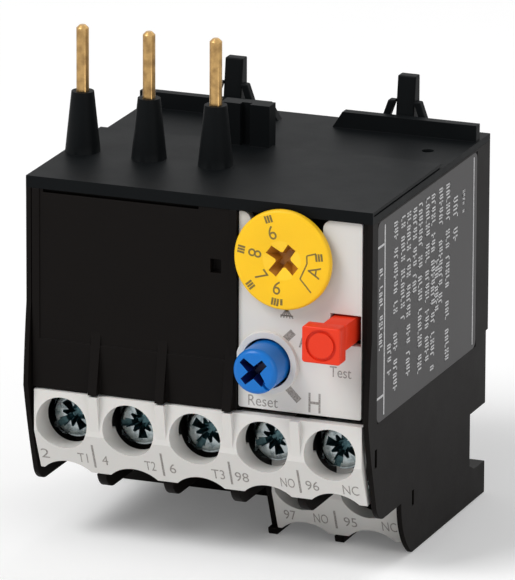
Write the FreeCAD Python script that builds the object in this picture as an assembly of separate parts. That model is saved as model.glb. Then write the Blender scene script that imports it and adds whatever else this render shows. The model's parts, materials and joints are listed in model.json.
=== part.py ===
"""Three-pole thermal overload relay that plugs into the underside of a 45 mm wide contactor.

Millimetres, +Z up. The pieces are drawn with x to the right, y back from the front face and z up
from the lid's face, so most heights are negative. `export` then moves them so that the origin is
the middle of the bottom of the whole relay. Each size is written once, below; what fits in or
seats on another piece takes its place from the same values.
"""
import FreeCAD, Part
import math
import os

V = FreeCAD.Vector
TINY = 0.01                     # two places closer than this are the same

# ---- overall ----
WIDTH = 45.0                    # frame size of the contactor that carries the relay
DEPTH = 41.5                    # front face to the back of the housing
HEIGHT = 47.1                   # lid face to the foot
FIT = 0.1                       # gap between mouldings that are clipped together
AIR = 0.3                       # gap beside anything that moves
RUNNING = 0.05                  # radial clearance of a shaft in its bearing
OVERCUT = 1.0                   # how far a cutter reaches past the piece


def across(x, drawn=45.0):
    """Place or pitch along x that keeps its share of the width."""
    return x * WIDTH / drawn


def deep(y, drawn=41.5):
    """Place or length along y that keeps its share of the depth."""
    return y * DEPTH / drawn


def high(z, drawn=47.1):
    """Place or length along z that keeps its share of the height."""
    return z * HEIGHT / drawn


# ---- poles and terminals ----
POLES = 3
PITCH = across(8.77)            # terminal to terminal
FIRST_TERMINAL_X = across(-17.8)
TERMINALS = 5                   # upper deck: three mains, two control
TERMINAL_Z = high(-31.0)
LOWER_TERMINALS = 2             # lower deck: two control
DECK_STEP_Y = deep(12.8)        # how far the lower deck stands back
DECK_STEP_Z = high(-8.6)        # and how far below

# ---- housing ----
SIDE_WALL = 1.4
LIP_WALL = 0.65                 # side wall beside the front cover
REAR_WALL = 3.6
LID_THICKNESS = 1.5
LID_STEP_Y = deep(24.0)         # behind this the lid lies lower
LID_STEP_DROP = 0.67
LID_GROOVE = 0.25               # depth of the line along the lid's sides
LID_GROOVE_Z = (-0.6, -0.35)
LID_RIM = 1.0
FLOOR_Z = high(-26.8)           # floor of the mechanism space, top of the terminal strip
FLOOR_THICKNESS = 1.0
NOSE_START_Z = high(-15.8)      # here the side walls start to swell forward
NOSE_BULGE = 0.8                # forward of the terminal strip
NOSE_BULGE_Z = 4.7              # above the terminal axis
NOSE_RUN = (2.2, -6.5)          # back and down from the strip face and the terminal axis
NOSE_TIP = (4.9, -8.7)
NOSE_BELLY = (0.32, 0.23)        # the arc to NOSE_RUN passes this share of it
NOSE_CHIN = (0.62, 0.91)         # and the arc to NOSE_TIP this share of that
NOSE_SWELL = 0.6                 # share of the bulge reached halfway down to it
DECK_WALL_LEAN = 0.3             # share of its lead that the lower deck's wall loses halfway down
FIN_WIDTH = 1.2
DECK_WALL_LEAD = 1.8            # side wall of the lower deck, in front of its strip
BAR_TOP_Z = high(-19.0)         # fins show as tapering bars on the front cover from here
BAR_FOOT_DROP = 4.6             # and end on the terminal strip this far below its top
BAR_ROOT = 0.8                  # how deep a bar is rooted in what carries it
FOOT_Y = deep(28.0)             # left of the lower deck the housing steps down to its foot here
LOWER_REAR_Y = deep(40.8)
LOWER_REAR_Z = high(-26.0)
RAIL_NOTCH_Y = deep(35.3)
RAIL_NOTCH_TOP_Z = high(-35.4)
RAIL_NOTCH_BOTTOM_Z = high(-42.1)
RAIL_NOTCH_RAMP = 0.9

# ---- front cover and panel ----
COVER_THICKNESS = 1.8
BACKING_THICKNESS = 1.5
PANEL_FACE_Y = 0.5
PANEL_THICKNESS = 1.2
PANEL_X = (across(5.1), across(21.0))
PANEL_CORNER = 1.2              # where the dial notch meets the top edge
PANEL_OUTER_CORNER = 0.3
PANEL_FOOT_GAP = 0.5
SLIT_X = (across(-20.3), across(0.0))
SLIT_HEIGHT = 0.45
SIGHT_HOLE_X = (across(1.57), across(2.95))
SIGHT_HOLE_Z = (high(-9.7), high(-7.96))
SIGHT_HOLE_DEPTH = 1.2
STEP_LINE_Z = high(-20.5)       # the cover swells slightly below this
STEP_LINE_DEPTH = 0.15
COVER_RIM = 1.0                 # left of and right of the shallow field above that line

# ---- setting dial ----
DIAL_X = across(11.3)
DIAL_Z = high(-6.8)
DIAL_R = 6.22
DIAL_THICKNESS = 1.0
DIAL_GAP = 0.2                  # in front of the lid band
DIAL_SINK_R = 2.3
DIAL_SINK_DEPTH = 0.35
DRIVE_WIDTH = 0.95              # screwdriver cross
DRIVE_DEPTH = 0.8
DIAL_DRIVE_R = 2.0
SPINDLE_R = 1.5
HUB_R = 2.7
SPINDLE_LENGTH = 9.6
CAM_THICKNESS = 2.4
CAM_START_R = 2.2
CAM_RISE = 1.1                  # over the dial's travel
CAM_STEPS = 6                   # points that the spiral is drawn through
DIAL_DRIVE_ANGLE = 48.0
DIAL_TRAVEL = 161.0             # degrees, lowest setting to highest
NOTCH_MARGIN = 1.56             # panel left of the dial's notch
NOTCH_R = DIAL_X - PANEL_X[0] - NOTCH_MARGIN  # U-shaped notch of the panel round the dial's hub

# ---- reset button ----
RESET_X = across(8.9)
RESET_Z = high(-20.3)
RESET_R = 2.85
RESET_FRONT_Y = -4.1
RESET_RIM_BEVEL = 0.5
RESET_SHAFT_R = 1.6
RESET_SHAFT_LENGTH = deep(15.5)
RESET_TRAVEL = 2.0
RESET_TURN = 100.0              # degrees from hand to automatic
RESET_REST_ANGLE = -50.0        # pointer at rest, from +x
RESET_DRIVE_R = 2.1
POINTER_WIDTH = 0.35
COLLAR_R = 3.95
COLLAR_PROUD = 0.6
SLEEVE_R = 3.2
SLEEVE_LENGTH = deep(3.6)
KEY_WIDTH = 1.0
KEY_HEIGHT = 0.7
RESET_DRIVE_DEPTH = 1.6
RESET_COLLAR_Y = deep(11.6)     # spring collar on the shaft
RESET_COLLAR_THICKNESS = 0.6

# ---- test button ----
TEST_FRONT_Y = -4.6
TEST_HEAD_X = (across(15.2), across(20.15))
TEST_HEAD_Z = (high(-18.1), high(-13.5))
TEST_HEAD_THICKNESS = 1.9
TEST_CORNER = 0.45
TEST_RING_R = 1.98
TEST_RING_WIDTH = 0.42
TEST_RING_DEPTH = 0.35
TEST_STEM_WIDTH = 2.9
TEST_STEM_HEIGHT = 3.2
TEST_SHOULDER_Y = deep(12.0)    # stem ends, push rod begins
TEST_ROD_WIDTH = 1.3            # square push rod
TEST_END_Y = deep(25.6)
TEST_TRAVEL = 2.0
TEST_SLOT_SIDE = 0.75           # free space on the right of the stem

# ---- terminals ----
STRIP_FACE_Y = -0.3
STRIP_THICKNESS = 1.2
STRIP_X = (across(-21.4), across(21.4))
WELL_BRIDGE = 2.07              # between two wells
WELL_R = (PITCH - WELL_BRIDGE) / 2
WELL_WALL = 0.35                # thinnest wall of the square block round a well
WELL_DEPTH = 3.9
STRIP_BEND = 1.2                # below the terminal axis the strip slopes back
WAVE_FLAT = 2.6                 # between two waves of the strip's lower edge
WAVE_TOP_DROP = 5.25            # below the terminal axis
WELL_NOTCH_DEPTH = 3.1          # a well's left wall is open behind this
WELL_NOTCH_DROP = 0.8           # from this far below the terminal axis upwards
WELL_NOTCH_X = -1.5             # right end of that opening, from the terminal axis
HEAD_CLEAR = 0.4                # between the screw head and its well
HEAD_R = WELL_R - HEAD_CLEAR
HEAD_THICKNESS = 2.0
HEAD_Y = 4.3                    # behind the strip face
SCREW_R = 1.75                  # M3.5
SCREW_LENGTH = 9.0
SCREW_PITCH = 0.6
SCREW_TURNS = 3.0
SCREW_SLOT_WIDTH = 0.8
SCREW_SLOT_DEPTH = 0.8
PLATE_CLEAR = 0.77              # total play of a plate between two fins
PLATE_SIZE = PITCH - FIN_WIDTH - PLATE_CLEAR
PLATE_THICKNESS = 1.2
CLAMP_INSET = 0.2               # a clamp is this much narrower than the plate
CLAMP_SIZE = PLATE_SIZE - CLAMP_INSET
CLAMP_THICKNESS = 1.0
CLAMP_LIP = 0.3
CLAMP_CORNER = 0.8
WIRE_GAP = 0.4                  # between clamp and plate with the screw tight
CHAMBER_BACK_Y = 13.6
STRAP_THICKNESS = 0.9
STRAP_WIDTH = 3.4

# ---- contact pins on top ----
PIN_PITCH = across(8.75)
PIN_Y = deep(12.84)
PIN_R = 0.775
PIN_SHANK_WIDTH = 1.2           # square where the sleeve holds it
PIN_TOP_Z = 16.0
PIN_TIP = 0.4
SLEEVE_TOP_Z = 7.65
SLEEVE_TOP_R = 1.4
SLEEVE_BASE_R = 2.2
FIRST_PIN_X = SLEEVE_BASE_R + TINY - WIDTH / 2
PIN_LUG_Z = (high(-11.7), high(-4.0))
PIN_LUG_Y = deep(15.9)
PIN_LUG_THICKNESS = 0.9

# ---- other things on the lid ----
LID_RAIL_Y = (deep(36.9), deep(38.2))
LID_RAIL_HEIGHT = 2.07
LEFT_RAIL_X = (across(-22.5), across(-5.2))
RIGHT_RAIL_X = (across(4.6), across(22.3))
RAIL_SLOPE = 1.3
BLOCK_X = (across(-5.9), across(0.5))
BLOCK_Y = (deep(22.4), deep(24.6))
BLOCK_HEIGHT = 5.3
BLOCK_GROOVE_WIDTH = 1.3
BLOCK_GROOVE_DEPTH = 0.8
VENT_X = across(18.1)
VENT_Y = deep(31.0)
VENT_R = 0.75

# ---- latches ----
LATCH_X = (across(-11.0), across(12.0))
LATCH_TOP_Z = 6.0
LATCH_POST_WIDTH = 2.4
LATCH_POST_DEPTH = 2.5
LATCH_FRONT_Y = DEPTH - LATCH_POST_DEPTH - FIT
LATCH_NOSE = 1.0                # sloping front of the post
LATCH_WIDTH = 6.8
LATCH_LEG = 0.9
LATCH_LEG_TOP_Z = 3.0
LATCH_PLATE_DEPTH = 1.2
LATCH_ROOT_Z = high(-8.0)       # ---- bimetals and slider ----
BIMETAL_THICKNESS = 0.8
BIMETAL_WIDTH = 4.0
BIMETAL_Y = deep(19.5)
BIMETAL_TOP_Z = high(-6.4)
HEATER_TURNS = 6
HEATER_PITCH = high(1.8)
HEATER_BAND = 1.1
HEATER_CLEAR = 0.2
HEATER_SECTION = 0.6
HEATER_TOP_Z = high(-10.6)
SLIDER_Z = (high(-9.2), high(-7.8))
SLIDER_WIDTH = 6.4
SLIDER_X = (across(-20.4), across(6.0))
SLIDER_NOSE_LENGTH = 1.6
SLIDER_NOSE_WIDTH = 1.2
SLIDER_TRAVEL = 1.0

# ---- tripping mechanism ----
CRANK_X = across(8.0)
CRANK_Y = deep(25.2)
CRANK_PIN_R = 0.7
CRANK_HUB_R = 1.6
CRANK_ARM = deep(5.6)           # hub to where the slider pushes
CRANK_REACH = across(6.0)       # hub to where it pushes the rocker
CRANK_ARM_WIDTH = 1.3
CRANK_HEIGHT = 2.4
CRANK_TOP_Z = high(-7.3)
SHELF_Z = high(-11.8)
SHELF_THICKNESS = 1.2
ROCKER_Y = deep(29.4)
ROCKER_Z = high(-17.3)
ROCKER_PIN_R = 0.8
ROCKER_HUB_R = 1.9
ROCKER_X = (across(7.6), across(19.4))
ROCKER_THICKNESS = 1.6
ROCKER_TOP_Z = high(-7.4)
ROCKER_BOTTOM_Z = high(-25.4)
ROCKER_WINDOW_Z = (high(-14.8), high(-10.4))
FRAME_X = (across(6.2), across(20.9))
FRAME_BACK_Y = deep(36.0)
FRAME_THICKNESS = 1.2
FRAME_FOOT_Z = high(-23.6)
GUIDE_Y = deep(17.5)
ADJUSTER_ARM = 6.1              # hub to the cam
ADJUSTER_WIDTH = 1.6
ADJUSTER_R = 1.5
ADJUSTER_PIN_R = 0.7

# ---- control contacts ----
CONTACT_SPREAD = 1.9            # either side of a contact pair's middle
CONTACT_SIZE = 1.6              # square contact tips
CONTACT_HEIGHT = 0.5
BRIDGE_THICKNESS = 0.6
BRIDGE_HEIGHT = 2.2
BRIDGE_Z = high(-23.8)
CONTACT_STRAP_WIDTH = 2.2

# ---- springs ----
SPRING_WIRE = 0.5                # side of the square wire
SPRING_TURNS = 3
SPRING_SECTIONS = 10            # straight spans per turn
SQUARE = ((-1, -1), (1, -1), (1, 1), (-1, 1), (-1, -1))
SPRING_SLACK = 0.05

# ---- rating label ----
LABEL_THICKNESS = 0.12
SNAP_SLOTS = (                  # (front, back), (foot, top) of the slots that the terminal covers snap into
    ((1.35, 2.05), (high(-32.45), high(-30.15))),
    ((deep(14.5), deep(15.2)), (high(-41.1), high(-39.15))),
)
LABEL_Y = (1.9, deep(36.9))
LABEL_Z = (high(-27.0), high(-1.8))
LABEL_CORNER = 1.0

# ---- derived places ----
HALF = WIDTH / 2
TERMINAL_XS = [FIRST_TERMINAL_X + PITCH * i for i in range(TERMINALS)]
LOWER_XS = TERMINAL_XS[TERMINALS - LOWER_TERMINALS:]
FIN_XS = [x + PITCH / 2 for x in TERMINAL_XS[:-1]]
DECK_LEFT_X = FIN_XS[TERMINALS - LOWER_TERMINALS - 1] - FIN_WIDTH / 2
LOWER_FACE_Y = STRIP_FACE_Y + DECK_STEP_Y
LOWER_Z = TERMINAL_Z + DECK_STEP_Z
INNER_HALF = HALF - SIDE_WALL
INNER_BACK_Y = DEPTH - REAR_WALL
PANEL_BACK_Y = PANEL_FACE_Y + PANEL_THICKNESS
BACKING_Y = PANEL_BACK_Y + BACKING_THICKNESS
FORWARD_Y = min(TEST_FRONT_Y, RESET_FRONT_Y)
ORIGIN = V(0, -(FORWARD_Y + DEPTH) / 2, HEIGHT)
DIAL_FRONT_Y = -DIAL_GAP - DIAL_THICKNESS
ADJUSTER_X = DIAL_X + CAM_START_R + AIR + ADJUSTER_WIDTH / 2
ADJUSTER_Z = DIAL_Z - ADJUSTER_ARM
ADJUSTER_TURN = math.degrees(CAM_RISE / ADJUSTER_ARM)
SPINDLE_END_Y = DIAL_FRONT_Y + SPINDLE_LENGTH
CAM_Y = SPINDLE_END_Y - CAM_THICKNESS
RESET_HEAD_END_Y = BACKING_Y + AIR
RESET_SLEEVE_Y = RESET_HEAD_END_Y + RESET_TRAVEL + AIR
RESET_END_Y = RESET_HEAD_END_Y + RESET_SHAFT_LENGTH
TEST_STEM_X = (TEST_HEAD_X[1] - TEST_STEM_WIDTH, TEST_HEAD_X[1])
TEST_STEM_Z = (TEST_HEAD_Z[1] - TEST_STEM_HEIGHT, TEST_HEAD_Z[1])
TEST_ROD_X = sum(TEST_STEM_X) / 2
TEST_ROD_Z = sum(TEST_STEM_Z) / 2
FLOOR_TOP_Z = FLOOR_Z + FLOOR_THICKNESS
LIP_X = HALF - LIP_WALL
PIN_XS = [FIRST_PIN_X + PIN_PITCH * i for i in range(POLES)]
DECK_TIP_Z = TERMINAL_Z + NOSE_TIP[1]
DECK_BACK_Y = CHAMBER_BACK_Y + STRAP_THICKNESS
LOWER_FLOOR_Z = FLOOR_Z + DECK_STEP_Z
STRAP_TOP_Z = FLOOR_Z + STRAP_THICKNESS
HEAD_FRONT_Y = STRIP_FACE_Y + HEAD_Y
CLAMP_Y = HEAD_FRONT_Y + HEAD_THICKNESS + RUNNING
PLATE_Y = CLAMP_Y + CLAMP_THICKNESS + WIRE_GAP
ROCKER_SWING = SLIDER_TRAVEL / CRANK_ARM * CRANK_REACH / (CRANK_TOP_Z - CRANK_HEIGHT / 2 - ROCKER_Z)
CONTACT_SWING = ROCKER_SWING * (ROCKER_Z - BRIDGE_Z)
OPENER_Y = ROCKER_Y + ROCKER_THICKNESS / 2 + BRIDGE_THICKNESS + 2 * CONTACT_HEIGHT + AIR
CLOSER_Y = (ROCKER_Y - ROCKER_THICKNESS / 2 - BRIDGE_THICKNESS - 2 * CONTACT_HEIGHT - STRAP_THICKNESS
            - AIR - CONTACT_SWING)
SCREW_PLACES = [(x, 0, 0) for x in TERMINAL_XS] + [(x, DECK_STEP_Y, DECK_STEP_Z) for x in LOWER_XS]


def box(x, y, z):
    """Block between pairs of limits."""
    return Part.makeBox(x[1] - x[0], y[1] - y[0], z[1] - z[0], V(x[0], y[0], z[0]))


def rod_y(x, z, radius, start, end):
    """Round bar along y."""
    return Part.makeCylinder(radius, end - start, V(x, start, z), V(0, 1, 0))


def rod_x(y, z, radius, start, end):
    """Round bar along x."""
    return Part.makeCylinder(radius, end - start, V(start, y, z), V(1, 0, 0))


def rod_z(x, y, radius, start, end):
    """Round bar along z."""
    return Part.makeCylinder(radius, end - start, V(x, y, start))


def side_profile(start, *steps):
    """Closed face in the y-z plane: a step is a point, or a pair (through, end) for an arc."""
    edges = []
    here = start
    for step in steps + (start,):
        curved = isinstance(step[0], tuple)
        end = step[1] if curved else step
        if curved:
            edge = Part.Arc(V(0, *here), V(0, *step[0]), V(0, *end))
        else:
            edge = Part.LineSegment(V(0, *here), V(0, *end))
        edges.append(edge.toShape())
        here = end
    return Part.Face(Part.Wire(edges))


def slab(face, x):
    """Side profile drawn out between two x limits."""
    shape = face.extrude(V(x[1] - x[0], 0, 0))
    shape.translate(V(x[0], 0, 0))
    return shape


def rounded_box(x, y, z, radius):
    """Block whose corners seen from the front are round."""
    block = box(x, y, z)
    long_edges = [e for e in block.Edges if abs(e.tangentAt(e.FirstParameter).y) > 0.9]
    return block.makeFillet(radius, long_edges)


def chamfered_box(x, y, z, size):
    """Block whose corners seen from the front are cut off."""
    block = box(x, y, z)
    long_edges = [e for e in block.Edges if abs(e.tangentAt(e.FirstParameter).y) > 0.9]
    return block.makeChamfer(size, long_edges)


def cross(x, z, reach, width, y, angle):
    """Screwdriver cross: two crossed blocks along y, turned about their middle."""
    bar = box((-reach, reach), y, (-width / 2, width / 2))
    other = bar.copy()
    other.rotate(V(0, 0, 0), V(0, 1, 0), 90)
    both = bar.fuse(other)
    both.rotate(V(0, 0, 0), V(0, 1, 0), -angle)
    both.translate(V(x, 0, z))
    return both


def join(shapes):
    """One solid from several."""
    whole = shapes[0]
    for shape in shapes[1:]:
        whole = whole.fuse(shape)
    return whole.removeSplitter()


def spring_y(x, z, radius, start, end):
    """Compression spring along y: a ruled loft through square sections set along a helix."""
    half = SPRING_WIRE / 2
    spans = SPRING_TURNS * SPRING_SECTIONS
    sections = []
    for step in range(spans + 1):
        middle = start + half + (end - start - SPRING_WIRE) * step / spans
        section = Part.makePolygon([V(radius + i * half, middle + k * half, 0) for i, k in SQUARE])
        section.rotate(V(0, 0, 0), V(0, 1, 0), 360 * step / SPRING_SECTIONS)
        section.translate(V(x, 0, z))
        sections.append(section)
    return Part.makeLoft(sections, True, True)


def nose_steps(face_y, axis_z):
    """Rounded front of a deck's partition, from its bulge down to its tip."""
    bulge = (face_y - NOSE_BULGE, axis_z + NOSE_BULGE_Z)
    run = (face_y + NOSE_RUN[0], axis_z + NOSE_RUN[1])
    tip = (face_y + NOSE_TIP[0], axis_z + NOSE_TIP[1])
    run_through = (face_y + NOSE_BELLY[0] * NOSE_RUN[0], axis_z + NOSE_BELLY[1] * NOSE_RUN[1])
    tip_through = (face_y + NOSE_CHIN[0] * NOSE_TIP[0], axis_z + NOSE_CHIN[1] * NOSE_TIP[1])
    return bulge, (run_through, run), (tip_through, tip)


def rear_steps():
    """Back of the side profile, from the foot up to the lid, with the notch for a rail."""
    return (
        (LOWER_REAR_Y, -HEIGHT),
        (LOWER_REAR_Y, RAIL_NOTCH_BOTTOM_Z - RAIL_NOTCH_RAMP),
        (RAIL_NOTCH_Y + 2 * RAIL_NOTCH_RAMP, RAIL_NOTCH_BOTTOM_Z - RAIL_NOTCH_RAMP),
        (RAIL_NOTCH_Y, RAIL_NOTCH_BOTTOM_Z),
        (RAIL_NOTCH_Y, RAIL_NOTCH_TOP_Z),
        (LOWER_REAR_Y, RAIL_NOTCH_TOP_Z),
        (LOWER_REAR_Y, LOWER_REAR_Z),
        (DEPTH, LOWER_REAR_Z),
        (DEPTH, -LID_THICKNESS),
    )


def housing_body():
    """Tub with side walls, floor, rear wall and foot, open at the top, front and terminal decks."""
    bulge, run, tip = nose_steps(STRIP_FACE_Y, TERMINAL_Z)
    swell = ((bulge[0] * NOSE_SWELL, (NOSE_START_Z + bulge[1]) / 2), bulge)
    upper = ((0, -LID_THICKNESS), (0, NOSE_START_Z), swell, run, tip)
    left = side_profile(*upper, (FOOT_Y, DECK_TIP_Z), (FOOT_Y + RAIL_NOTCH_RAMP, -HEIGHT), *rear_steps())
    wall_y = LOWER_FACE_Y - DECK_WALL_LEAD
    wall_toe = (LOWER_FACE_Y + NOSE_RUN[0], -HEIGHT)
    wall_middle = (wall_y + DECK_WALL_LEAN * DECK_WALL_LEAD, LOWER_Z + NOSE_RUN[1] / 2)
    deck = ((wall_y, DECK_TIP_Z), (wall_middle, wall_toe))
    right = side_profile(*upper, *deck, *rear_steps())
    body = slab(left, (-HALF, DECK_LEFT_X)).fuse(slab(right, (DECK_LEFT_X, HALF)))
    low = -HEIGHT - OVERCUT
    front = FORWARD_Y - OVERCUT
    cuts = [
        box((-LIP_X, LIP_X), (front, BACKING_Y), (FLOOR_Z, OVERCUT)),
        box((-INNER_HALF, INNER_HALF), (BACKING_Y, INNER_BACK_Y), (FLOOR_TOP_Z, OVERCUT)),
        box((-LIP_X, LIP_X), (front, DECK_BACK_Y), (low, FLOOR_Z)),
        box((DECK_LEFT_X, LIP_X), (front, DECK_BACK_Y + DECK_STEP_Y), (low, LOWER_FLOOR_Z)),
        box((HALF - LABEL_THICKNESS, HALF + OVERCUT), LABEL_Y, LABEL_Z),
    ]
    for y, z in SNAP_SLOTS:
        cuts.append(box((LIP_X - OVERCUT, HALF + OVERCUT), y, z))
    pocket_y = (LATCH_FRONT_Y - FIT, DEPTH + OVERCUT)
    for x in LATCH_X:
        pocket = LATCH_WIDTH / 2 + FIT
        cuts.append(box((x - pocket, x + pocket), pocket_y, (LATCH_ROOT_Z, OVERCUT)))
    for i, x in enumerate(TERMINAL_XS):
        back = BIMETAL_Y + BIMETAL_WIDTH / 2 + STRAP_THICKNESS if i < POLES else INNER_BACK_Y
        cuts.append(channel(x if i < POLES else x - CONTACT_SPREAD, (BACKING_Y, back + FIT), FLOOR_Z))
    for x in LOWER_XS:
        rise = (PLATE_Y + DECK_STEP_Y - FIT, PLATE_Y + DECK_STEP_Y + STRAP_THICKNESS + FIT)
        cuts.append(channel(x + CONTACT_SPREAD, rise, LOWER_FLOOR_Z))
        cuts.append(channel(x + CONTACT_SPREAD, (rise[0], INNER_BACK_Y), FLOOR_Z))
    for cut in cuts:
        body = body.cut(cut)
    return body.removeSplitter()


def channel(x, y, bottom_z):
    """Cutter for a strap's channel in the floor, open upwards."""
    half = STRAP_WIDTH / 2 + FIT
    return box((x - half, x + half), y, (bottom_z, FLOOR_TOP_Z + OVERCUT))


def top_cover():
    """Lid with its front band, lower rear part, pin sleeves, guide block, two rails and a vent."""
    lid = box((-HALF, HALF), (0, DEPTH), (-LID_THICKNESS, 0))
    lid = lid.cut(box((-HALF, HALF), (LID_STEP_Y, DEPTH + OVERCUT), (-LID_STEP_DROP, OVERCUT)))
    groove = box((-HALF, HALF), (PANEL_FACE_Y, LID_STEP_Y), LID_GROOVE_Z)
    core = box((-HALF + LID_GROOVE, HALF - LID_GROOVE), (0, DEPTH), (-LID_THICKNESS, 0))
    lid = lid.cut(groove.cut(core))
    rim_x = INNER_HALF - FIT
    rim_y = (BACKING_Y + FIT, INNER_BACK_Y - FIT)
    rim = box((-rim_x, rim_x), rim_y, (-LID_THICKNESS - LID_RIM, -LID_THICKNESS))
    inside = (-rim_x + LID_RIM, rim_x - LID_RIM)
    rim = rim.cut(box(inside, (rim_y[0] + LID_RIM, rim_y[1] - LID_RIM), (-LID_THICKNESS - LID_RIM, 0)))
    gap = PIN_SHANK_WIDTH / 2 + AIR
    for x in PIN_XS:
        rim = rim.cut(box((x - gap, x + gap), (PIN_Y - gap, PIN_Y + gap), (-LID_THICKNESS - LID_RIM, 0)))
    shapes = [lid, rim, lid_rail(LEFT_RAIL_X, 1), lid_rail(RIGHT_RAIL_X, -1), guide_block()]
    for x in PIN_XS:
        shapes.append(Part.makeCone(SLEEVE_BASE_R, SLEEVE_TOP_R, SLEEVE_TOP_Z, V(x, PIN_Y, 0)))
    cover = join(shapes)
    for x in PIN_XS:
        cover = cover.cut(pin_shank(x, PIN_SHANK_WIDTH / 2 + RUNNING, -LID_THICKNESS))
    cover = cover.cut(rod_z(VENT_X, VENT_Y, VENT_R, -LID_THICKNESS, 0))
    for x in LATCH_X:
        half = LATCH_WIDTH / 2 + FIT
        cover = cover.cut(box((x - half, x + half), (LATCH_FRONT_Y - FIT, DEPTH), (-LID_THICKNESS, 0)))
    return cover.removeSplitter()


def lid_rail(x, slope_side):
    """Low wall across the rear of the lid, sloping down at its inner end."""
    base = -LID_STEP_DROP
    top = base + LID_RAIL_HEIGHT
    rail = box(x, LID_RAIL_Y, (base, top))
    tip = x[1] if slope_side > 0 else x[0]
    ramp = [V(tip, 0, base), V(tip + slope_side * RAIL_SLOPE, 0, base), V(tip, 0, top)]
    wedge = Part.Face(Part.makePolygon(ramp + ramp[:1])).extrude(V(0, LID_RAIL_Y[1] - LID_RAIL_Y[0], 0))
    wedge.translate(V(0, LID_RAIL_Y[0], 0))
    return rail.fuse(wedge)


def guide_block():
    """Block behind the last pin that locates the contactor, with a groove down its face."""
    block = box(BLOCK_X, BLOCK_Y, (-LID_STEP_DROP, BLOCK_HEIGHT))
    middle = (BLOCK_X[0] + BLOCK_X[1]) / 2
    groove_x = (middle - BLOCK_GROOVE_WIDTH / 2, middle + BLOCK_GROOVE_WIDTH / 2)
    return block.cut(box(groove_x, (BLOCK_Y[0], BLOCK_Y[0] + BLOCK_GROOVE_DEPTH), (0, BLOCK_HEIGHT)))


def front_cover():
    """Black cover on the left and the backing of the panel, with the bars that continue the fins."""
    top = -LID_THICKNESS
    foot = FLOOR_Z + FIT
    edge = LIP_X - FIT
    left = box((-edge, PANEL_X[0] - FIT), (0, COVER_THICKNESS), (foot, top))
    rim = COVER_RIM
    left = left.cut(box((rim - edge, PANEL_X[0] - rim), (0, STEP_LINE_DEPTH), (STEP_LINE_Z, top)))
    backing = box((PANEL_X[0] - rim, edge), (PANEL_BACK_Y, BACKING_Y), (foot, top))
    strip = box((PANEL_X[1] + FIT, edge), (PANEL_FACE_Y, BACKING_Y), (foot, top))
    cover = join([left, backing, strip] + [cover_bar(x) for x in FIN_XS[:POLES]])
    cover = cover.cut(box(SLIT_X, (0, COVER_THICKNESS / 2), (top - SLIT_HEIGHT, top)))
    cover = cover.cut(box(SIGHT_HOLE_X, (0, SIGHT_HOLE_DEPTH), SIGHT_HOLE_Z))
    cover = cover.cut(rod_y(DIAL_X, DIAL_Z, SPINDLE_R + RUNNING, PANEL_BACK_Y, BACKING_Y))
    cover = cover.cut(rod_y(RESET_X, RESET_Z, RESET_R + RUNNING, PANEL_BACK_Y, BACKING_Y))
    cover = cover.cut(test_slot((PANEL_BACK_Y, BACKING_Y)))
    pin = rod_y(ADJUSTER_X, ADJUSTER_Z, ADJUSTER_PIN_R, BACKING_Y, CAM_Y + CAM_THICKNESS)
    return cover.fuse(pin).removeSplitter()


def cover_bar(x):
    """Bar in line with a fin that grows forward down to the terminal strip."""
    swell_y = STRIP_FACE_Y - NOSE_BULGE
    back = STEP_LINE_DEPTH + BAR_ROOT
    foot = FLOOR_Z + FIT
    wedge = side_profile((STEP_LINE_DEPTH, BAR_TOP_Z), (swell_y, foot), (back, foot), (back, BAR_TOP_Z))
    return slab(wedge, (x - FIN_WIDTH / 2, x + FIN_WIDTH / 2))


def test_slot(y):
    """Cutter for the test button's stem, with free space on the right."""
    x = (TEST_STEM_X[0] - AIR, TEST_STEM_X[1] + TEST_SLOT_SIDE)
    z = (TEST_STEM_Z[0] - AIR, TEST_STEM_Z[1] + AIR)
    return box(x, y, z)


def control_panel():
    """White panel with a U-shaped notch for the dial, the reset collar and the test slot."""
    y = (PANEL_FACE_Y, PANEL_BACK_Y)
    foot = FLOOR_Z + PANEL_FOOT_GAP
    panel = rounded_box(PANEL_X, y, (foot, -LID_THICKNESS - FIT), PANEL_OUTER_CORNER)
    notch = rod_y(DIAL_X, DIAL_Z, NOTCH_R, *y)
    notch = notch.fuse(box((DIAL_X - NOTCH_R, DIAL_X + NOTCH_R), y, (DIAL_Z, OVERCUT)))
    panel = panel.cut(notch)
    corners = [e for e in panel.Edges if is_notch_corner(e)]
    panel = panel.makeFillet(PANEL_CORNER, corners)
    collar = rod_y(RESET_X, RESET_Z, COLLAR_R, PANEL_FACE_Y - COLLAR_PROUD, PANEL_BACK_Y)
    panel = panel.fuse(collar.common(box(PANEL_X, (FORWARD_Y, PANEL_BACK_Y), (foot, 0))))
    panel = panel.cut(rod_y(RESET_X, RESET_Z, RESET_R + AIR, PANEL_FACE_Y - COLLAR_PROUD, PANEL_BACK_Y))
    return panel.cut(test_slot(y)).removeSplitter()


def is_notch_corner(edge):
    """Whether an edge is where the dial notch meets the panel's top edge."""
    middle = edge.CenterOfMass
    at_top = abs(middle.z + LID_THICKNESS + FIT) < TINY
    at_side = abs(abs(middle.x - DIAL_X) - NOTCH_R) < TINY
    return at_top and at_side


def strip_profile(face_y, axis_z, top_z, back):
    """Side profile of a terminal strip: upright, then sloping back below the screws."""
    bend_z = axis_z - STRIP_BEND
    foot = (face_y + NOSE_RUN[0], axis_z + NOSE_RUN[1])
    return side_profile((face_y, top_z), (face_y, bend_z), foot, (foot[0] + back, foot[1]),
                        (face_y + back, bend_z), (face_y + back, top_z))


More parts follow.
